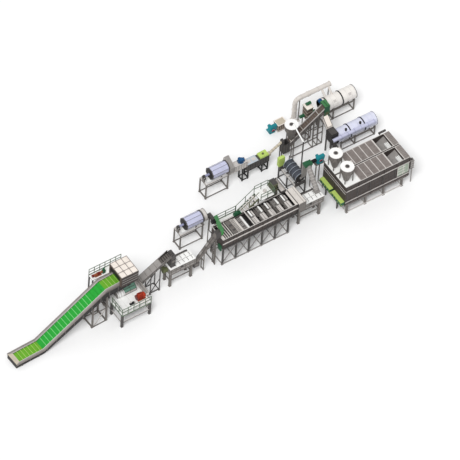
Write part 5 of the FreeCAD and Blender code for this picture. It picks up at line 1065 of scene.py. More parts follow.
@dataclass
class WashDrum(Machine):
    """Octagonal wash drum on its stand.

    Attributes:
        suffix: which drum it is.
        lead: length of its shaft.
        long: length of the drum.
        across: its axis, across the line.
        middle: height of its axis.
        radius: its radius over the corners.
        corners: number of its corners.
    """

    suffix: str = "one"
    lead: float = 0.36
    long: float = 1.04
    across: float = 0.305
    middle: float = 1.48
    radius: float = 0.32
    corners: int = 8

    def build(self) -> None:
        """Adds corner strips, collar bolts, the end face, the bearing and foot plates."""
        start = (self.lead, self.across, self.middle)
        half_turn = 180 / self.corners
        strips = self.pile(f"drum_{self.suffix}_strips", SLATE, f"wash_drum_{self.suffix}")
        for spot, out in circle(start, self.radius, self.corners, 0, first=half_turn):
            strips.beam(spot + Vector((0.06, 0, 0)), spot + Vector((self.long - 0.06, 0, 0)), 0.016, 0.01,
                out)
        bolts = self.pile(f"drum_{self.suffix}_bolts", PALE, f"wash_drum_{self.suffix}")
        reach = self.radius * 1.06 * math.cos(math.radians(half_turn))
        for spot, out in circle(start, reach, self.corners, 0):
            bolts.bolts([spot + Vector((x, 0, 0)) for x in (0.03, self.long - 0.03)], out)

        face = self.pile(f"drum_{self.suffix}_face", DARK, f"wash_drum_{self.suffix}")
        face.discs([self.lead], (-0.01, self.across, self.middle), 0.012, 0.24, sides=32)
        rim = circle((self.lead - 0.01, self.across, self.middle), 0.2, self.corners, 0)
        face.bolts([spot for spot, _ in rim], LEFT, 0.012, 0.01)

        (self.pile(f"drum_{self.suffix}_bearing", SLATE, f"wash_drum_{self.suffix}")
         .block((-0.004, self.across - 0.13, 1.34), (0.1, self.across + 0.13, 1.415))
         .tube((0.0, self.across, self.middle), (0.09, self.across, self.middle), 0.085, sides=24))

        (self.pile(f"drum_{self.suffix}_feet", STONE, f"drum_stand_{self.suffix}")
         .pads((-0.02, 1.29), (-0.02, 0.53), 0.1, 0.01))

    def dress(self) -> None:
        """Paints the drum and its stand."""
        shaft = (VIOLET, lambda c, n: c.x < self.lead - 0.002)
        ends = (DARK, lambda c, n: abs(n.x) > 0.9)
        collar = (SLATE, lambda c, n: c.x < self.lead + 0.061 or c.x > self.lead + self.long - 0.061)
        self.paint(f"wash_drum_{self.suffix}", LAVENDER, shaft, ends, collar)
        tray = (WHITE, lambda c, n: 0.1 < c.x < 1.3 and 0.07 < c.y < 0.54 and c.z > 1.05)
        rim = (PALE, both(upward(), lambda c, n: c.z > 1.09))
        self.paint(f"drum_stand_{self.suffix}", STONE, tray, rim)


@dataclass
class DrumOutlets(Machine):
    """Discharge ends of both wash drums, in the first drum's frame.

    Attributes:
        station: zero of the first drum.
        axis_y: place of the cap's axis across the line.
        axis_z: its height.
        hood_x: left edge of the second hood.
        hood_y: its front edge.
    """

    station: Point = (-1.98, 0.03, 0.0)
    axis_y: float = 0.305
    axis_z: float = 1.48
    hood_x: float = 4.26
    hood_y: float = 2.005

    def build(self) -> None:
        """Adds the round cap's rings and lid, the ducts' flanges and the second hood's seams."""
        (self.pile("outlet_rings", STONE, "drum_outlets")
         .discs((1.402, 1.592), (0.0, self.axis_y, self.axis_z), 0.016, 0.334, sides=36)
         .row((1.62, 1.8, 1.98), (0.0, 0.208, 1.104), (0.014, 0.402, 1.266))
         .row((-0.6, -0.35, -0.1, 0.15), (1.834, 0.0, 1.104), (2.026, 0.014, 1.266), axis=1))

        (self.pile("outlet_lid", SAND, "drum_outlets")
         .tube((1.61, self.axis_y, self.axis_z), (1.618, self.axis_y, self.axis_z), 0.22, sides=32)
         .tube((1.618, self.axis_y, self.axis_z), (1.626, self.axis_y, self.axis_z), 0.05))

        hood = self.pile("outlet_hood_seams", PALE, "drum_outlets")
        for x in (self.hood_x + 0.01, self.hood_x + 0.3):
            hood.beam((x, self.hood_y, 1.515), (x, self.hood_y + 0.64, 1.803), 0.016, 0.012, (0, -0.4, 1))
        hood.bolts([(self.hood_x + x, self.hood_y, 1.49) for x in spread(0.05, 0.26, 4)], FRONT, 0.008)

    def dress(self) -> None:
        """Paints the two ends."""
        hood = (GREY, lambda c, n: c.x > 3.0)
        cap = (PALE, lambda c, n: c.x < 1.615 and c.z > 1.27)
        post = (STONE, lambda c, n: c.z < 1.1)
        self.paint("drum_outlets", SLATE, hood, cap, post, smooth=True)


@dataclass
class WashTank(Machine):
    """Long washing tank with its paddle wheels, slats, drive and cover.

    Attributes:
        station: low corner of the tank.
        long: length of the open tank.
        wide: width of the tank.
        low: height of its bottom.
        top: height of its rim.
        wheels: number of paddle wheels.
        first: place of the first wheel's shaft.
        pitch: distance between two shafts.
        shaft: height of the shafts.
        motor_y: place of the motor's axis across the tank.
        motor_z: its height.
    """

    station: Point = (-0.75, -1.88, 0.0)
    long: float = 4.5
    wide: float = 1.03
    low: float = 1.3
    top: float = 2.0
    wheels: int = 5
    first: float = 2.145
    pitch: float = 0.488
    shaft: float = 1.77
    motor_y: float = 1.03
    motor_z: float = 2.08

    def build(self) -> None:
        """Adds rims, ribs, water, dividers, hubs, blades, deck parts, fins, seams and foot plates."""
        (self.pile("tank_rims", PALE, "wash_tank")
         .row((-0.004, self.wide - 0.03), (-0.006, 0.0, self.top), (self.long, 0.034, self.top + 0.008),
            axis=1)
         .block((-0.006, 0.03, self.top), (0.03, self.wide - 0.03, self.top + 0.008))
         .block((1.87, 0.03, self.top), (1.93, self.wide - 0.03, self.top + 0.008)))
        (self.pile("tank_front_rail", PALE, "wash_tank")
         .block((0.0, -0.034, 1.652), (self.long, -0.026, 1.7)))

        ribs = self.pile("tank_ribs", DARK, "wash_tank")
        for y, low, high in ((-0.01, self.low + 0.01, 1.65), (-0.01, 1.702, self.top - 0.002),
                             (self.wide, self.low + 0.02, self.top - 0.002)):
            ribs.row(spread(0.05, self.long - 0.08, 16), (0.0, y, low), (0.026, y + 0.01, high))
        for y in (-0.012, self.wide):
            ribs.row((1.32, 1.96), (0.0, y, 0.0), (self.long, y + 0.012, 0.02), axis=2)

        (self.pile("tank_water", WET, "wash_tank")
         .block((0.032, 0.032, 1.69), (1.868, self.wide - 0.032, 1.7))
         .block((1.932, 0.032, 1.555), (self.long - 0.032, self.wide - 0.032, 1.565)))

        shafts = [self.first + self.pitch * at for at in range(self.wheels)]
        dividers = self.pile("tank_dividers", STONE, "wash_tank")
        for x in shafts:
            for near, far in ((0.032, 0.06), (self.wide - 0.06, self.wide - 0.032)):
                dividers.tube((x, near, self.shaft), (x, far, self.shaft), 0.06, sides=20)
        dividers.row(shafts[:-1], (0.234, 0.03, self.top - 0.045),
            (0.252, self.wide - 0.03, self.top - 0.02))

        hubs = self.pile("wheel_hubs", DARK, "paddle_wheels")
        bolts = self.pile("wheel_bolts", PALE, "paddle_wheels")
        for x in shafts:
            hubs.discs(spread(0.16, self.wide - 0.18, 5), (x, 0.0, self.shaft), 0.022, 0.062, sides=20,
                axis=1)
            for y in (0.25, 0.5, 0.75):
                bolts.bolts([(x + dx, y, self.shaft + 0.058) for dx in (-0.015, 0.015)], UP, 0.007, 0.006)

        (self.pile("tank_deck_parts", IVORY, "tank_deck")
         .block((0.04, 0.05, 1.9), (0.2, 0.34, 1.925))
         .block((1.24, 0.06, 1.78), (1.31, self.wide - 0.06, 1.9)))
        # Dark sheets under the deck: painted shade, seen through the spaces between its slats and plates.
        (self.pile("tank_deck_gaps", DARK, "tank_deck")
         .block((0.24, 0.035, 1.87), (0.76, self.wide - 0.035, 1.878))
         .block((1.74, 0.035, 1.738), (1.86, self.wide - 0.035, 1.748)))
        (self.pile("tank_deck_grid", SLATE, "tank_deck")
         .row(spread(1.335, 1.545, 4), (0.0, 0.06, 1.78), (0.028, self.wide - 0.06, 1.798))
         .row((0.34, 0.66), (1.335, 0.0, 1.798), (1.57, 0.03, 1.812), axis=1))
        (self.pile("tank_deck_plate", WHITE, "tank_deck")
         .block((1.625, 0.05, 1.78), (1.72, self.wide - 0.05, 1.792)))

        blades = self.pile("wheel_blades", WHITE, "paddle_wheels")
        plates = self.pile("wheel_plates", PALE, "paddle_wheels")
        for at, x in enumerate(shafts):
            lean = 0.06 if at % 2 else -0.04
            blades.block((x + lean - 0.045, 0.56, 1.95), (x + lean + 0.035, 0.95, 1.972))
            for step, low in ((-0.13, 1.915), (-0.005, 1.935)):
                plates.block((x + step, 0.09, low), (x + step + 0.11, 0.5, low + 0.02))
            plates.block((x + 0.075, 0.58, 1.9), (x + 0.155, 0.9, 1.918))

        (self.pile("cover_lip", IVORY, "tank_cover")
         .block((self.long - 0.16, 0.032, self.top - 0.02),
            (self.long, self.wide - 0.032, self.top - 0.004)))

        (self.pile("tank_box_lid", SLATE, "tank_deck")
         .bolts([(0.79 + 0.06 * k, y, 1.96) for k in range(4) for y in (0.1, 0.5, 0.92)], UP, 0.01)
         .row((0.28, 0.6), (0.8, 0.0, 1.952), (0.95, 0.1, 1.964), axis=1))

        (self.pile("tank_motor_fins", PINE, "wash_tank")
         .discs(spread(1.34, 1.6, 9), (0.0, self.motor_y, self.motor_z), 0.008, 0.112)
         .tube((1.64, self.motor_y, self.motor_z), (1.685, self.motor_y, self.motor_z), 0.105, sides=28))

        seams = self.pile("cover_seams", STONE, "tank_cover")
        seams.row((4.502, 4.8, 4.932), (0.0, -0.046, self.low + 0.02), (0.016, -0.04, self.top))
        seams.row((4.502, 4.8, 4.932), (0.0, -0.044, self.top), (0.016, 1.074, self.top + 0.006))
        (self.pile("cover_hatch", IVORY, "tank_cover")
         .block((4.58, 0.18, self.top), (4.78, 0.84, self.top + 0.01))
         .bolts([(x, y, self.top + 0.01) for x in (4.6, 4.76) for y in (0.22, 0.51, 0.8)], UP)
         .tube((4.64, 0.5, self.top + 0.035), (4.64, 0.62, self.top + 0.035), 0.008, sides=8))

        (self.pile("tank_feet", STONE, "tank_frame")
         .pads(spread(0.018, 3.928, 6), (-0.015, self.wide - 0.09), 0.105, 0.01))

    def dress(self) -> None:
        """Paints the tank, its wheels, cover and frame."""
        guard = (PINE, lambda c, n: c.x < -0.001)
        motor = (PINE, lambda c, n: 1.28 < c.x < 1.7 and 0.9 < c.y and c.z > 1.96)
        front = (PALE, lambda c, n: c.y < -0.001 and 1.64 < c.z < 1.71)
        rim = (GREY, both(upward(), lambda c, n: c.z > self.top - 0.005))
        grid = within((0.25, 0.03, 1.8), (0.76, 1.0, 1.94))
        # Every second slat is painted dark grey: painted shade standing in for the narrow spaces between
        # the slats, which are too thin to show.
        gap_shade = (SLATE, both(grid, lambda c, n: int((c.x - 0.255) / 0.062) % 2 == 1))
        slats = (IVORY, grid)
        box = (STONE, within((0.755, 0.03, 1.6), (1.0, 1.0, 1.97)))
        bars = (IVORY, within((1.005, 0.03, 1.6), (1.25, 1.0, 1.97)))
        panel = (PALE, within((1.3, 0.03, 1.6), (1.85, 1.0, 1.78)))
        # Inner faces of the open tank are painted darker than its outside: painted shade inside the tank.
        inner = within((0.029, 0.029, self.low + 0.01), (self.long - 0.01, self.wide - 0.029, self.top))
        dark = (DARK, inner)
        self.paint("wash_tank", SOOT, guard, motor, front, dark, rim, smooth=True)
        self.paint("tank_deck", STONE, gap_shade, slats, box, bars, panel)
        low = (STONE, lambda c, n: c.z < 1.8)
        self.paint("paddle_wheels", GREY, low)
        edge = (IVORY, both(upward(), lambda c, n: c.z > self.top - 0.01))
        side = (STONE, lambda c, n: n.y < -0.6)
        self.paint("tank_cover", SLATE, edge, side)
        braces = (GREY, lambda c, n: c.z < 0.15 or max(abs(part) for part in n) < 0.98)
        self.paint("tank_frame", SLATE, braces)


@dataclass
class Access(Machine):
    """Walkway behind the washing tank with the stair and landing to the elevator.

    Attributes:
        station: low corner of the walkway.
        deck: height of the walkway.
        landing: height of the landing.
        lift_x: left edge of the elevator.
        lift_y: its front edge.
        trough_x: left edge of the transfer trough.
        trough_y: its front edge.
    """

    station: Point = (-0.25, -0.8237, 0.0)
    deck: float = 1.64
    landing: float = 2.4
    lift_x: float = 3.1563
    lift_y: float = 0.0337
    trough_x: float = 3.6
    trough_y: float = -0.0763

    def build(self) -> None:
        """Adds skirt and grating, landing seams, the elevator's bands and plates, and trough rims."""
        self.pile("walkway_skirts", RAIL, "walkway").block((0.0, 0.396, 1.636), (1.2, 0.404, 1.73))

        (self.pile("walkway_grating", PALE, "walkway")
         .row(spread(0.03, 1.15, 17), (0.0, 0.01, self.deck), (0.01, 0.38, self.deck + 0.003)))

        (self.pile("landing_seams", PALE, "stair_landing")
         .row(spread(2.4, 3.02, 4), (0.0, -0.17, self.landing), (0.008, 0.44, self.landing + 0.0025)))

        bands = self.pile("elevator_bands", STONE, "elevator")
        x, y = self.lift_x, self.lift_y
        bands.row((0.4, 0.9, 1.4, 1.9, 2.4, 2.78), (x - 0.008, y - 0.008, 0.0),
            (x + 0.308, y + 0.408, 0.022), axis=2)
        plate = self.pile("elevator_plates", SLATE, "elevator")
        for z in (0.52, 1.02, 1.52, 2.02):
            plate.block((x + 0.05, y - 0.006, z), (x + 0.25, y, z + 0.28))
            plate.bolts([(x + 0.07, y - 0.006, z + 0.02), (x + 0.23, y - 0.006, z + 0.26)], FRONT)
        plate.block((x + 0.04, y + 0.06, 2.85), (x + 0.26, y + 0.34, 2.858))

        rims = self.pile("transfer_rims", SLATE, "transfer_trough")
        x, y = self.trough_x, self.trough_y
        rims.row((x - 0.004, x + 0.28), (0.0, y, 2.156), (0.024, y + 0.9, 2.168))
        rims.row(spread(y + 0.02, y + 0.85, 7), (x - 0.008, 0.0, 2.002), (x, 0.02, 2.158), axis=1)

    def dress(self) -> None:
        """Paints walkway, stair, elevator and transfer."""
        deck = (WHITE, both(upward(), lambda c, n: abs(c.z - self.deck) < 0.006))
        rails = (RAIL, lambda c, n: c.z > self.deck + 0.005)
        self.paint("walkway", STONE, deck, rails)
        landing = (WHITE, both(upward(), lambda c, n: abs(c.z - self.landing) < 0.006))
        inner = (OLIVE, lambda c, n: c.x < 2.28 and c.y < 0.06 and c.z > 1.9)
        rails = (RAIL, lambda c, n: c.z > self.landing + 0.005
            or (c.x < 2.29 and abs(n.x) < 0.98 and abs(n.z) < 0.98))
        steps = (PALE, both(upward(0.9), lambda c, n: c.x < 2.29))
        posts = (STONE, lambda c, n: c.z < 2.3)
        boxed = (PALE, within((2.7, 0.13, 2.405), (2.85, 0.28, 3.0)))
        self.paint("stair_landing", SLATE, landing, boxed, steps, inner, rails, posts)
        knobs = (BLACK, lambda c, n: c.y < 0.0335 and c.z > 2.5)
        head = (SLATE, both(upward(), lambda c, n: c.z > 2.84))
        self.paint("elevator", OLIVE, knobs, head, smooth=True)
        inside = (PALE, both(upward(), lambda c, n: 2.0 < c.z < 2.1))
        walls = (PALE, lambda c, n: abs(n.x) > 0.9 and 3.615 < c.x < 3.885)
        self.paint("transfer_trough", SLATE, inside, walls)


@dataclass
class Rinse(Machine):
    """Rinse drum in its frame, with the guard of its drive.

    Attributes:
        station: low corner of the frame.
        axis_x: place of the drum's axis along the line.
        axis_z: height of the drum's axis.
        radius: radius of the drum's skin.
        start: near end of the drum, across the line.
        end: its far end.
        bars: number of its lengthwise bars.
    """

    station: Point = (4.76, -0.18, 0.0)
    axis_x: float = 0.33
    axis_z: float = 1.35
    radius: float = 0.288
    start: float = 0.075
    end: float = 1.135
    bars: int = 18

    def build(self) -> None:
        """Adds the drum's lengthwise bars, studs and ring edges, the guard's rim and foot plates."""
        bars = self.pile("rinse_bars", SLATE, "rinse_drum")
        for spot, out in circle((self.axis_x, self.start, self.axis_z), self.radius, self.bars, 1):
            bars.beam(spot, spot + Vector((0, self.end - self.start, 0)), 0.018, 0.014, out)

        studs = self.pile("rinse_studs", DARK, "rinse_drum")
        for y in spread(self.start + 0.045, self.end - 0.045, 21):
            middle = (self.axis_x, y, self.axis_z)
            for spot, out in circle(middle, self.radius * 0.985, self.bars, 1, first=180 / self.bars):
                studs.bolts([spot], out, 0.012, 0.005)

        (self.pile("rinse_ring_edges", FROST, "rinse_drum")
         .discs(spread(self.start, self.end, 5), (self.axis_x, -0.007, self.axis_z), 0.014, 0.316,
            sides=40, axis=1))

        (self.pile("rinse_guard_rim", PINE, "rinse_frame")
         .tube((0.0, 1.424, 1.4), (0.0, 1.432, 1.4), 0.1, sides=28)
         .tube((0.0, 1.432, 1.4), (0.0, 1.44, 1.4), 0.03))

        self.pile("rinse_feet", STONE, "rinse_frame").pads((-0.02, 0.58), (-0.02, 1.45), 0.1, 0.01)

    def dress(self) -> None:
        """Paints the rinse drum, its frame and guard."""
        shafts = (GREY, lambda c, n: c.y < 0.055 or c.y > 1.155)
        ends = (DARK, lambda c, n: abs(n.y) > 0.9)
        self.paint("rinse_drum", STEEL, shafts, ends, smooth=True)
        guard = (LIME, lambda c, n: 1.24 < c.y < 1.44 and c.z > 1.22 and c.x < 0.18)
        motor = (BLACK, lambda c, n: c.z > 1.22 and c.x < 0.18 and c.y > 1.0)
        top = (PALE, both(upward(), lambda c, n: 0.85 < c.z < 0.95))
        self.paint("rinse_frame", SLATE, guard, motor, top, smooth=True)


@dataclass
class TubeScrew(Machine):
    """Steep tube screw behind the washing tank's end, with its head and motor.

    Attributes:
        station: point under its low end.
        foot: lower end of the drawn axis.
        head: its upper end.
        motor_z: height of the motor's axis.
    """

    station: Point = (5.3, -1.24, 0.0)
    foot: Point = (0.0, 0.0, 1.44)
    head: Point = (0.0, 0.9, 2.5)
    motor_z: float = 2.554

    def build(self) -> None:
        """Adds the tube's rings, the motor's fins and the head's lid."""
        (self.pile("tube_screw_rings", PALE, "tube_screw")
         .collars(Vector(self.foot), Vector(self.head), spread(0.1, 0.82, 7), 0.007, 0.15))

        (self.pile("tube_motor_fins", BLACK, "tube_screw")
         .discs(spread(0.24, 0.44, 8), (0.0, self.head[1], self.motor_z), 0.008, 0.094)
         .tube((0.455, self.head[1], self.motor_z), (0.49, self.head[1], self.motor_z), 0.088, sides=28))

        (self.pile("tube_head_lid", PINE, "tube_screw")
         .block((-0.2, 0.78, 2.635), (0.2, 1.02, 2.643))
         .bolts([(x, y, 2.643) for x in (-0.17, 0.0, 0.17) for y in (0.8, 1.0)], UP))

    def dress(self) -> None:
        """Paints the tube screw."""
        motor = (DARK, lambda c, n: c.x > 0.217)
        head = (PINE, lambda c, n: c.z > 2.465 and 0.75 < c.y)
        self.paint("tube_screw", GREY, motor, head, smooth=True)


@dataclass
class Press(Machine):
    """Screw press with its feed channel, drive and discharge screw.

    Attributes:
        station: low corner of the feed channel.
        motor_y: place of the motor's axis across the line.
        motor_z: its height.
        screw: low end of the discharge screw's axis.
        outlet: its high end.
    """

    station: Point = (2.31, 2.06, 0.0)
    motor_y: float = 0.136
    motor_z: float = 1.579
    screw: Point = (2.44, 0.14, 1.03)
    outlet: Point = (3.29, 0.14, 1.55)

    def build(self) -> None:
        """Adds motor fins, channel rims, press ribs, lid bolts, the box's lid and screw rings."""
        (self.pile("press_motor_fins", BLUE, "press_channel")
         .block((0.62, 0.03, 1.69), (0.8, 0.24, 1.697))
         .discs(spread(0.58, 0.83, 8), (0.0, self.motor_y, self.motor_z), 0.008, 0.117)
         .tube((0.845, self.motor_y, self.motor_z), (0.888, self.motor_y, self.motor_z), 0.11, sides=28))

        (self.pile("channel_rims", GREY, "press_channel")
         .row((-0.006, 0.314), (-0.004, 0.0, 1.416), (1.05, 0.032, 1.428), axis=1)
         .row(spread(0.04, 0.98, 7), (0.0, -0.01, 1.03), (0.02, 0.0, 1.416)))

        (self.pile("press_ribs", DARK, "screw_press")
         .row(spread(1.08, 2.32, 9), (0.0, -0.01, 0.66), (0.022, 0.0, 1.09))
         .row(spread(1.08, 2.32, 9), (0.0, 0.36, 0.66), (0.022, 0.37, 1.09)))

        (self.pile("press_lid_bolts", PALE, "screw_press")
         .bolts([(x, y, 1.14) for x in spread(1.1, 1.66, 6) for y in (0.03, 0.33)], UP)
         .row((1.12, 1.42), (0.0, 0.08, 1.14), (0.22, 0.28, 1.148)))
        (self.pile("press_box_lid", OLIVE, "screw_press")
         .bolts([(x, y, 1.2) for x in spread(1.88, 2.3, 5) for y in (0.04, 0.32)], UP)
         .tube((2.09, 0.18, 1.2), (2.09, 0.18, 1.225), 0.06, sides=20))

        (self.pile("press_screw_rings", STONE, "narrow_screw")
         .collars(Vector(self.screw), Vector(self.outlet), spread(0.08, 0.78, 5), 0.006, 0.08, sides=24))

    def dress(self) -> None:
        """Paints press, channel and discharge screw."""
        motor = (BLUE, lambda c, n: 0.55 < c.x < 0.89 and c.z > 1.475)
        bracket = (WHITE, lambda c, n: 0.61 < c.x < 0.83 and c.z > 1.425)
        inside = (STONE, both(upward(), lambda c, n: c.z < 1.4))
        self.paint("press_channel", PALE, motor, bracket, inside, smooth=True)
        cover = (FROST, lambda c, n: n.z > 0.3 and 1.05 < c.x < 1.75 and c.z > 1.0)
        box = (LIME, lambda c, n: 1.83 < c.x < 2.36 and c.z > 1.101)
        self.paint("screw_press", SLATE, cover, box, smooth=True)
        self.paint("press_frame", BLACK)
        head = (SLATE, lambda c, n: c.x > 3.14)
        self.paint("narrow_screw", SAND, head, smooth=True)


@dataclass
class Steep(Machine):
    """Steep belt conveyor with its boot, head and chute.

    Attributes:
        station: low corner of its boot.
        start: where it starts to climb.
        low: height of its side walls there.
        slope: how much it climbs per metre.
        wide: its width.
        bed: width of the belt between the side walls.
    """

    station: Point = (5.56, 2.08, 0.0)
    start: float = 0.4
    low: float = 1.237
    slope: float = 1.463 / 2.06
    wide: float = 0.36
    bed: float = 0.24

    def height(self, x: float) -> float:
        """Height of the side walls' top edge.

        Args:
            x: distance from the machine's zero.

        Returns:
            The height.
        """
        return self.low + self.slope * (x - self.start)

    def build(self) -> None:
        """Adds cleats, edges, cross lines, ribs, bolts, boot seams, motor fins and the chute's plate."""
        middle = self.wide / 2
        cleats = self.pile("steep_cleats", STONE, "steep_conveyor")
        for x in spread(0.5, 2.16, 16):
            z = self.height(x) - 0.05
            cleats.beam((x - 0.008, middle, z), (x + 0.008, middle, z + 0.016 * self.slope),
                self.bed, 0.02)

        edges = self.pile("steep_edges", PALE, "steep_conveyor")
        for y in (0.01, 0.35):
            edges.beam((0.45, y, self.height(0.45) + 0.004), (2.36, y, self.height(2.36) + 0.004), 0.018,
                0.008)

        lines = self.pile("steep_cross_lines", PALE, "steep_conveyor")
        for x in (0.46, 1.15, 2.05):
            z = self.height(x) + 0.006
            lines.beam((x - 0.009, middle, z - 0.009 * self.slope),
                (x + 0.009, middle, z + 0.009 * self.slope), self.wide + 0.01, 0.012)

        ribs = self.pile("steep_ribs", SLATE, "steep_conveyor")
        for x in spread(0.5, 2.34, 9):
            for y, side in ((0.0, -1.0), (self.wide, 1.0)):
                ribs.beam((x, y + side * 0.007, self.height(x) - 0.31),
                    (x, y + side * 0.007, self.height(x) - 0.015), 0.022, 0.014, (0, side, 0))

        bolts = self.pile("steep_bolts", DARK, "steep_conveyor")
        for x in spread(0.56, 2.28, 18):
            bolts.bolts([(x, -0.001, self.height(x) - 0.05), (x, -0.001, self.height(x) - 0.27)], FRONT,
                0.008)

        (self.pile("steep_boot_seams", STONE, "steep_conveyor")
         .row(spread(0.03, 0.3, 4), (-0.008, 0.0, 0.58), (0.0, 0.018, 1.22), axis=1)
         .row(spread(0.03, 0.35, 3), (0.0, -0.008, 0.58), (0.018, 0.0, 1.22)))

        (self.pile("steep_head_bolts", OLIVE, "steep_head")
         .bolts([(x, -0.051, z) for x in (2.39, 2.515, 2.64) for z in (2.05, 2.43, 2.82)], FRONT, 0.01)
         .block((2.42, -0.058, 2.2), (2.6, -0.05, 2.42)))

        (self.pile("steep_motor_fins", BLUE, "steep_head")
         .discs(spread(0.43, 0.58, 7), (2.46, 0.0, 2.71), 0.008, 0.112, axis=1))

        chute = self.pile("steep_chute_rim", GREY, "steep_head")
        for x in (2.226, 2.622):
            chute.beam((x + 0.006, -0.48, 1.655), (x + 0.006, -0.05, 2.025), 0.012, 0.05)
        (self.pile("steep_chute_plate", IVORY, "steep_head")
         .beam((2.43, -0.48, 1.64), (2.43, -0.05, 2.01), 0.384, 0.012))

    def dress(self) -> None:
        """Paints the conveyor, its head and its chute."""
        rail = (GREY, both(upward(0.5), lambda c, n: (c.y < 0.056 or c.y > 0.304) and c.x > 0.39))
        belt = (BROWN, both(upward(0.5), lambda c, n: 0.05 < c.y < 0.31 and c.x > 0.39))
        boot = (SLATE, lambda c, n: c.x < 0.41)
        self.paint("steep_conveyor", STONE, rail, belt, boot)
        self.paint("steep_stand", STONE)
        motor = (BLUE, lambda c, n: c.y > 0.411)
        top = (FERN, both(upward(0.2), lambda c, n: c.z > 2.7))
        walls = (GREY, lambda c, n: c.y < -0.051 and abs(n.x) > 0.9)
        chute = (CREAM, lambda c, n: c.y < -0.051)
        self.paint("steep_head", PINE, motor, top, walls, chute, smooth=True)


@dataclass
class Silo(Machine):
    """Small silo box with its drives."""

    station: Point = (7.25, 2.6, 0.0)

    def build(self) -> None:
        """Adds the silo's rim, and its bands with their bolts."""
        (self.pile("silo_rim", CREAM, "silo_box")
         .row((-0.008, 0.4), (-0.008, 0.0, 2.478), (0.358, 0.008, 2.5), axis=1)
         .row((-0.008, 0.35), (0.0, 0.0, 2.478), (0.008, 0.4, 2.5)))
        (self.pile("silo_bands", SAND, "silo_box")
         .row((1.68, 1.94, 2.2), (-0.006, -0.006, 0.0), (0.356, 0.406, 0.018), axis=2)
         .bolts([(x, -0.006, z + 0.009) for x in spread(0.03, 0.32, 4) for z in (1.68, 1.94, 2.2)], FRONT,
            0.008))

    def dress(self) -> None:
        """Paints the silo."""
        frame_part = (STONE, lambda c, n: c.z < 1.645)
        rim = (CREAM, both(upward(), lambda c, n: 2.45 < c.z < 2.51))
        drives = (PINE, lambda c, n: c.z > 2.505 or c.x > 0.352 or c.x < -0.002 or c.y < -0.002
            or c.y > 0.402)
        self.paint("silo_box", BROWN, frame_part, rim, drives, smooth=True)


@dataclass
class Cyclone(Machine):
    """One cyclone on its legs.

    Attributes:
        suffix: which cyclone it is.
        top: height of its top.
        low: height of the cone's lower end.
    """

    suffix: str = "one"
    top: float = 2.45
    low: float = 1.4

    def build(self) -> None:
        """Adds the lid's bolts, a dark disc painted as shade in the lid's hole, and the drum's seams."""
        # Slate disc on the lid: painted shade inside the hole.
        (self.pile(f"cyclone_{self.suffix}_hole", SLATE, f"cyclone_{self.suffix}")
         .tube((0, 0, self.top), (0, 0, self.top + 0.012), 0.105, sides=32))
        (self.pile(f"cyclone_{self.suffix}_bolts", PALE, f"cyclone_{self.suffix}")
         .bolts([spot for spot, _ in circle((0, 0, self.top), 0.335, 16, 2)], UP, 0.01)
         .tube((0, 0, self.top - 0.006), (0, 0, self.top + 0.008), 0.135, sides=32))
        seams = self.pile(f"cyclone_{self.suffix}_seams", SLATE, f"cyclone_{self.suffix}")
        for spot, out in circle((0, 0, self.top - 0.06), 0.333, 10, 2):
            seams.beam(spot, spot - Vector((0, 0, 0.18)), 0.014, 0.01, out)

    def dress(self) -> None:
        """Paints the cyclone."""
        lid = (WHITE, both(upward(), lambda c, n: c.z > self.top - 0.03))
        edge = (PALE, lambda c, n: c.z > self.top - 0.06)
        legs = (STONE, lambda c, n: c.z < self.low - 0.01)
        self.paint(f"cyclone_{self.suffix}", STONE, lid, edge, legs, smooth=True)


@dataclass
class Blower(Machine):
    """Blower with its round casing.

    Attributes:
        suffix: which blower it is.
        axis: height of its axis.
    """

    suffix: str = "one"
    axis: float = 0.0

    def build(self) -> None:
        """Adds a dark disc at the casing's eye, painted shade inside the opening."""
        # Dark disc at the eye: painted shade inside the casing's opening.
        (self.pile(f"blower_{self.suffix}_eye", DARK, f"blower_{self.suffix}")
         .tube((0, -0.049, self.axis), (0, -0.044, self.axis), 0.062, sides=28))

    def dress(self) -> None:
        """Paints the blower."""
        centre = (PINK, lambda c, n: c.y < -0.001 and n.y < -0.5
            and (c.x ** 2 + (c.z - self.axis) ** 2) < 0.03)
        self.paint(f"blower_{self.suffix}", TEAL, centre, smooth=True)


@dataclass
class HotAir(Machine):
    """Heater box and the hot-air pipe that leads to the drier.

    Attributes:
        station: point under the pipe's upright run.
        flange: radius of the pipe's flanges.
        low: height of the pipe's low run.
        high: height of its high run.
    """

    station: Point = (7.43, 3.9, 0.0)
    flange: float = 0.136
    low: float = 0.235
    high: float = 1.82

    def build(self) -> None:
        """Adds the pipe's flanges with their bolts, and the heater's seams."""
        (self.pile("pipe_flanges", IVORY, "hot_air_pipe")
         .discs((-0.46, -0.2), (0.0, 0, self.low), 0.012, self.flange, sides=32)
         .discs((0.55, 1.0, 1.45), (0, 0, 0.0), 0.012, self.flange, sides=32, axis=2)
         .discs((0.35, 0.85, 1.35, 1.76), (0.0, 0, self.high), 0.012, self.flange, sides=32))
        bolts = self.pile("pipe_bolts", SLATE, "hot_air_pipe")
        for x in (0.356, 0.856, 1.356):
            for spot, out in circle((x, 0, self.high), self.flange, 12, 0):
                bolts.bolts([spot], out, 0.007, 0.006)

        (self.pile("heater_seams", SAND, "heater_box")
         .row(spread(-1.0, -0.53, 5), (0.0, -0.108, 0.02), (0.016, -0.1, 0.46))
         .row(spread(0.1, 0.34, 7), (-1.006, -0.04, 0.0), (-1.0, 0.24, 0.014), axis=2)
         .block((-0.98, -0.08, 0.47), (-0.52, 0.28, 0.476))
         .bolts([(x, y, 0.476) for x in spread(-0.96, -0.54, 5) for y in (-0.06, 0.26)], UP))

    def dress(self) -> None:
        """Paints heater, pipe and dust pipe."""
        top = (CREAM, upward())
        front = (BROWN, lambda c, n: n.y < -0.6)
        self.paint("heater_box", STONE, top, front, smooth=True)
        posts = (STONE, lambda c, n: abs(n.z) < 0.05 and c.z < 1.69 and c.x > 0.2)
        self.paint("hot_air_pipe", IVORY, posts, smooth=True)
        low = (SLATE, lambda c, n: c.y < -2.6)
        self.paint("dust_pipe", WHITE, low, smooth=True)


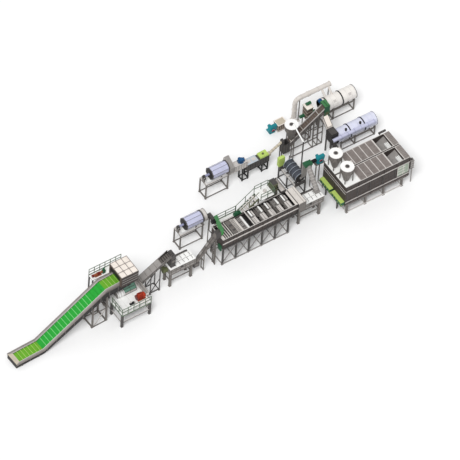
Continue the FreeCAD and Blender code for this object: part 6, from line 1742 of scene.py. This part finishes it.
@dataclass
class Drier(Machine):
    """Upper drier drum on its stand.

    Attributes:
        station: point under the drum's left end.
        radius: radius of the drum.
        middle: height of its axis.
        hatch_turn: how far up the drum's side its hatches sit, in degrees.
    """

    station: Point = (8.6, 3.3, 0.0)
    radius: float = 0.37
    middle: float = 1.17
    hatch_turn: float = 48.0

    def build(self) -> None:
        """Adds seams, end rings with their bolts, hatches and motor fins."""
        (self.pile("drier_seams", PALE, "drier_drum")
         .discs((0.55, 0.83, 1.45, 1.72, 1.94), (0.0, 0, self.middle), 0.008, self.radius + 0.004,
            sides=48))
        (self.pile("drier_end_rings", BLACK, "drier_drum")
         .discs((0.0, 1.976), (0.0, 0, self.middle), 0.022, self.radius + 0.008, sides=48)
         .tube((-0.008, 0, self.middle), (0.0, 0, self.middle), 0.12, sides=28))
        (self.pile("drier_end_bolts", SLATE, "drier_drum")
         .bolts([spot for spot, _ in circle((0, 0, self.middle), 0.35, 20, 0)], LEFT, 0.008, 0.006))
        hatch = self.pile("drier_hatches", PALE, "drier_drum")
        turn = math.radians(self.hatch_turn)
        up = Vector((0, -math.cos(turn), math.sin(turn)))
        for x in (0.62, 1.52):
            spot = Vector((x, 0, self.middle)) + up * (self.radius + 0.002)
            hatch.beam(spot, spot + Vector((0.16, 0, 0)), 0.13, 0.014, up)
        (self.pile("drier_motor_fins", OLIVE, "drier_stand")
         .discs(spread(-0.24, -0.06, 7), (0.0, -0.185, 1.17), 0.008, 0.12))

    def dress(self) -> None:
        """Paints the drier and its stand."""
        rings = (BLACK, lambda c, n: abs(n.x) > 0.9 and 0.2 < c.x < 1.3
            or n.x ** 2 < 0.2 and math.hypot(c.y, c.z - self.middle) > self.radius + 0.003)
        end = (FROST, lambda c, n: n.x < -0.9)
        self.paint("drier_drum", CHALK, rings, end, smooth=True)
        motor = (OLIVE, lambda c, n: c.x < -0.001 and c.z > 1.0)
        self.paint("drier_stand", STONE, motor, smooth=True)


@dataclass
class Cooler(Machine):
    """Lower drier drum with its ports, header and inlet box.

    Attributes:
        station: point under the drum's left end.
        radius: radius of the drum.
        middle: height of its axis.
    """

    station: Point = (8.2, 1.4, 0.0)
    radius: float = 0.36
    middle: float = 1.02

    def build(self) -> None:
        """Adds seams, end rings, header bands and inlet ribs."""
        (self.pile("cooler_seams", LAVENDER, "cooler_drum")
         .discs((0.16, 0.42, 1.04, 1.3, 1.92, 2.18), (0.0, 0, self.middle), 0.008, self.radius + 0.004,
            sides=48))
        (self.pile("cooler_end_rings", BLACK, "cooler_drum")
         .discs((0.0, 2.376), (0.0, 0, self.middle), 0.022, self.radius + 0.008, sides=48))
        (self.pile("header_bands", VIOLET, "cooler_inlet")
         .discs(spread(0.1, 2.1, 6), (0.0, -0.4, 1.35), 0.012, 0.109))
        ribs = self.pile("inlet_ribs", SLATE, "cooler_inlet")
        ribs.row(spread(1.06, 1.6, 4), (-0.428, -0.308, 0.0), (0.004, -0.3, 0.016), axis=2)
        ribs.row(spread(1.06, 1.6, 4), (-0.428, -0.3, 0.0), (-0.42, 0.2, 0.016), axis=2)
        ribs.block((-0.38, -0.26, 1.64), (-0.04, 0.16, 1.646))

    def dress(self) -> None:
        """Paints the cooler, its stand and its inlet."""
        ring = (BLACK, lambda c, n: abs(n.x) < 0.3 and (0.7 < c.x < 0.84 or 1.56 < c.x < 1.7)
            and c.z < self.middle + self.radius + 0.03
            and math.hypot(c.y, c.z - self.middle) > self.radius + 0.003)
        ports = (DARK, lambda c, n: math.hypot(c.y, c.z - self.middle) > self.radius + 0.01)
        end = (VIOLET, lambda c, n: n.x < -0.9)
        self.paint("cooler_drum", LILAC, ring, ports, end, smooth=True)
        self.paint("cooler_stand", STONE)
        header = (LAVENDER, lambda c, n: c.x > -0.03 and math.hypot(c.y + 0.4, c.z - 1.35) < 0.13)
        down = (SLATE, lambda c, n: c.z < 1.0)
        self.paint("cooler_inlet", DARK, header, down, smooth=True)


@dataclass
class Settling(Machine):
    """Pair of settling tanks with their deck, guards and frame.

    Attributes:
        station: low corner of the front tank.
        long: length of the tanks.
        wide: width of one tank.
        gap: gap between the two.
        low: height of their bottoms.
        top: height of the deck.
        deck: length of the white deck.
        panel: length of one panel.
        pit: length of the open pit.
        first_leg: place of the first row of legs.
        leg_gap: distance between two rows.
    """

    station: Point = (6.31, -2.34, 0.0)
    long: float = 3.88
    wide: float = 0.95
    gap: float = 0.06
    low: float = 0.69
    top: float = 2.1
    deck: float = 0.9
    panel: float = 0.38
    pit: float = 0.76
    first_leg: float = 0.14
    leg_gap: float = 1.11

    def build(self) -> None:
        """Adds deck and pit parts, sight panel, wall ribs, rails, posts, guard seams and foot plates."""
        dividers = self.pile("settle_dividers", PALE, "settle_deck_plates")
        lines = self.pile("settle_panel_lines", RUST, "settle_deck_plates")
        handles = self.pile("settle_handles", RUST, "settle_deck_plates")
        rims = self.pile("settle_rims", PALE, "settle_deck_plates")
        backs = self.pile("settle_pit_backs", DARK, "settle_tanks")
        plates = self.pile("settle_pit_plates", WHITE, "settle_tanks")
        fittings = self.pile("settle_fittings", GREY, "settle_deck_plates")
        white = self.pile("settle_white_deck", WHITE, "settle_deck_plates")
        last = self.pile("settle_last_bay", RUST, "settle_deck_plates")
        for side in (0.0, self.wide + self.gap):
            for at in range(6):
                x = self.deck + at * self.panel
                dividers.block((x - 0.02, side + 0.02, self.top),
                    (x + 0.02, side + self.wide - 0.02, self.top + 0.012))
            for at in range(5):
                x = self.deck + at * self.panel
                lines.row(spread(side + 0.05, side + self.wide - 0.09, 9), (x + 0.035, 0.0, self.top),
                    (x + self.panel - 0.035, 0.04, self.top + 0.006), axis=1)
                near, far = x + 0.12, x + 0.26
                for y in (side + 0.2, side + self.wide - 0.3):
                    handles.tube((near, y, self.top + 0.03), (far, y, self.top + 0.03), 0.008, sides=8)
                    for end in (near, far):
                        handles.tube((end, y, self.top), (end, y, self.top + 0.034), 0.008, sides=8)
            rims.row((side, side + self.wide - 0.03), (0.0, 0.0, self.top),
                (self.long, 0.03, self.top + 0.01), axis=1)
            start = self.deck + 5 * self.panel
            rims.row((start + 0.03, start + self.pit), (-0.02, side + 0.03, self.top),
                (0.02, side + self.wide - 0.03, self.top + 0.01))
            backs.block((start + 0.034, side + 0.032, 1.3),
                (start + 0.04, side + self.wide - 0.032, self.top - 0.035))
            for x in (0.46, 0.54, 0.62):
                plates.block((start + x, side + 0.04, 1.93),
                    (start + x + 0.03, side + 0.42, self.top - 0.04))
            fittings.row(spread(side + 0.08, side + self.wide - 0.12, 8),
                (start + self.pit + 0.05, 0.0, self.top + 0.006),
                (self.long - 0.04, 0.022, self.top + 0.012), axis=1)
            white.block((0.0, side, self.top), (self.deck - 0.02, side + self.wide, self.top + 0.008))
            last.block((start + self.pit + 0.02, side + 0.03, self.top),
                (self.long, side + self.wide - 0.03, self.top + 0.006))
        (self.pile("settle_sight_panel", MIST, "settle_tanks")
         .block((3.14, -0.014, 1.0), (3.84, -0.008, 1.735)))
        (self.pile("settle_sight_bars", PALE, "settle_tanks")
         .row((1.1, 1.32, 1.54), (3.18, -0.02, 0.0), (3.62, -0.014, 0.045), axis=2)
         .row((3.14, 3.48, 3.8), (0.0, -0.018, 1.0), (0.03, -0.014, 1.735)))

        ribs = self.pile("settle_ribs", SLATE, "settle_tanks")
        for low, high in ((self.low + 0.01, 0.898), (0.94, 1.738), (1.78, self.top - 0.01)):
            ribs.row(spread(0.1, self.long - 0.12, 14), (0.0, -0.01, low), (0.024, 0.0, high))
        ribs.row((1.2, 1.5, 1.98), (0.0, -0.008, 0.0), (self.long, 0.0, 0.018), axis=2)

        (self.pile("settle_front_rails", PALE, "settle_tanks")
         .row((0.9, 1.74), (0.0, -0.034, 0.0), (self.long, -0.026, 0.038), axis=2)
         .row((1.56, 1.74), (-0.012, 0.0, 0.0), (-0.004, 2 * self.wide + self.gap, 0.038), axis=2))
        (self.pile("settle_side_posts", SLATE, "settle_tanks")
         .row(spread(0.72, 3.0, 4), (0.0, -0.026, 0.94), (0.045, -0.01, 1.738)))

        seams = self.pile("settle_guard_seams", LIME, "settle_guards")
        for side in (0.03, self.wide + self.gap + 0.03):
            for y in spread(side + 0.05, side + self.wide - 0.12, 5):
                seams.beam((-0.235, y, 0.8), (-0.235, y, 0.95), 0.018, 0.008, LEFT)

        (self.pile("end_box_parts", SLATE, "settle_guards")
         .row((1.24, 1.42, 1.6, 1.78), (self.long, -0.108, 0.0), (self.long + 0.206, -0.1, 0.014),
            axis=2)
         .tube((self.long + 0.1, 0.0, 1.84), (self.long + 0.1, 0.0, 1.87), 0.06, sides=20))

        feet = self.pile("settle_feet", GREY, "settle_frame")
        whole = 2 * self.wide + self.gap
        for at in range(4):
            x = self.first_leg + self.leg_gap * at
            feet.row((-0.03, whole / 2 - 0.07, whole - 0.11), (x - 0.02, 0.0, 0.0),
                (x + 0.12, 0.14, 0.012), axis=1)

    def dress(self) -> None:
        """Paints tanks, deck, guards and frame."""
        rail = (GREY, lambda c, n: c.y < -0.001 and (0.89 < c.z < 0.95 or 1.73 < c.z < 1.79))
        start = self.deck + 5 * self.panel
        slope = (GREY, lambda c, n: start + 0.03 < c.x < start + self.pit and n.z > 0.3 and c.z > 1.0)
        inner = (SOOT, lambda c, n: start - 0.01 < c.x < start + self.pit + 0.04 and c.z > self.low + 0.02
                 and (0.02 < c.y < self.wide - 0.02
                     or self.wide + self.gap + 0.02 < c.y < 2 * self.wide + self.gap - 0.02))
        self.paint("settle_tanks", SOOT, rail, slope, inner)
        panels = (RUST, upward())
        self.paint("settle_deck_plates", SLATE, panels)
        guard = (LIME, lambda c, n: c.x < 0.0 and n.z > 0.2 and c.z > 0.72)
        side = (PINE, lambda c, n: c.x < 0.01 and c.z > 0.72)
        box = (GREY, lambda c, n: c.x > self.long)
        self.paint("settle_guards", SLATE, guard, side, box, smooth=True)
        low = (PALE, lambda c, n: c.z < 0.2)
        self.paint("settle_frame", STONE, low)


@dataclass
class Studio:
    """Camera, pale floor and soft light.

    Attributes:
        target: point in the middle of the picture, in metres.
        azimuth: where the camera stands round the plant, in degrees.
        elevation: how high it stands, in degrees.
        roll: how far the picture leans, in degrees.
        width: width of the picture at the target, in metres.
        lens: focal length in millimetres, long so that lines stay parallel.
        sky: strength of the white world.
        sun: strength of the sun.
        sun_size: how wide the sun is, in degrees, for soft shadows.
        sun_turn: turns of the sun about the three axes, in degrees.
        floor_half: half of the floor's size.
        floor_drop: how far the floor lies under the feet.
    """

    target: Point = (2.063, -1.017, 0.0)
    azimuth: float = -37.0
    elevation: float = 51.5
    roll: float = 4.6
    width: float = 23.0
    lens: float = 600.0
    sky: float = 0.6
    sun: float = 2.1
    sun_size: float = 25.0
    sun_turn: Point = (28.0, -18.0, -20.0)
    floor_half: float = 300.0
    floor_drop: float = 0.002

    def light(self) -> None:
        """Makes the world, the sun and the floor."""
        world = bpy.data.worlds.new("studio")
        bpy.context.scene.world = world
        world.use_nodes = True
        world.node_tree.nodes["Background"].inputs["Color"].default_value = (1.0, 1.0, 1.0, 1.0)
        world.node_tree.nodes["Background"].inputs["Strength"].default_value = self.sky
        sun = bpy.data.objects.new("sun", bpy.data.lights.new("sun", "SUN"))
        sun.data.energy = self.sun
        sun.data.angle = math.radians(self.sun_size)
        sun.rotation_euler = [math.radians(turn) for turn in self.sun_turn]
        bpy.context.scene.collection.objects.link(sun)
        mesh = bmesh.new()
        bmesh.ops.create_grid(mesh, x_segments=1, y_segments=1, size=self.floor_half)
        data = bpy.data.meshes.new("floor")
        mesh.to_mesh(data)
        mesh.free()
        data.materials.append(Finish(Tone.FLOOR, rough=0.9, wear=0.0).material())
        floor = bpy.data.objects.new("floor", data)
        floor.location.z = -self.floor_drop
        bpy.context.scene.collection.objects.link(floor)

    def shoot(self) -> None:
        """Sets the camera to the photo's view."""
        around, above, lean = (math.radians(turn) for turn in (self.azimuth, self.elevation, self.roll))
        back = Vector((math.sin(around) * math.cos(above), -math.cos(around) * math.cos(above),
            math.sin(above)))
        level = Vector((math.cos(around), math.sin(around), 0.0))
        upright = back.cross(level)
        right = level * math.cos(lean) + upright * math.sin(lean)
        up = upright * math.cos(lean) - level * math.sin(lean)
        camera = bpy.data.objects.new("camera", bpy.data.cameras.new("camera"))
        camera.data.lens = self.lens
        distance = self.width * self.lens / camera.data.sensor_width
        camera.data.clip_end = distance * 3.0
        turn = Matrix((right, up, back)).transposed().to_4x4()
        camera.matrix_world = Matrix.Translation(Vector(self.target) + back * distance) @ turn
        bpy.context.scene.collection.objects.link(camera)
        bpy.context.scene.camera = camera
        bpy.context.scene.view_settings.view_transform = "Standard"


def main() -> None:
    """Builds and dresses every sub-assembly in order, then sets light and camera."""
    logging.basicConfig(level=logging.INFO)
    machines: list[Machine] = [
        Infeed(), Crusher(), Lift(),
        FloatTank((-3.7, -1.67, 0.0), node="float_tank_one"),
        FloatTank((3.98, -1.67, 0.0), node="float_tank_two"),
        LiftScrew(),
        WashDrum((-1.98, 0.03, 0.0), suffix="one"),
        WashDrum((0.88, 2.05, 0.0), suffix="two"),
        DrumOutlets(), WashTank(), Access(), Rinse(), TubeScrew(), Press(), Steep(), Silo(),
        Cyclone((6.07, 2.26, 0.0), suffix="one", top=2.45, low=1.4),
        Cyclone((6.59, -0.87, 0.0), suffix="two", top=3.15, low=2.1),
        Cyclone((6.61, -1.88, 0.0), suffix="three", top=3.15, low=2.1),
        Blower((6.14, 3.86, 0.0), suffix="one", axis=0.235),
        Blower((6.08, -0.3537, 0.0), suffix="two", axis=2.353),
        HotAir(), Drier(), Cooler(), Settling(),
    ]
    for machine in machines:
        machine.build()
        machine.close()
        machine.dress()
        LOG.info("built %s with %d pieces", type(machine).__name__, len(machine.piles))
    studio = Studio()
    studio.light()
    studio.shoot()
    LOG.info("built %s", type(studio).__name__)


if __name__ == "__main__":
    main()
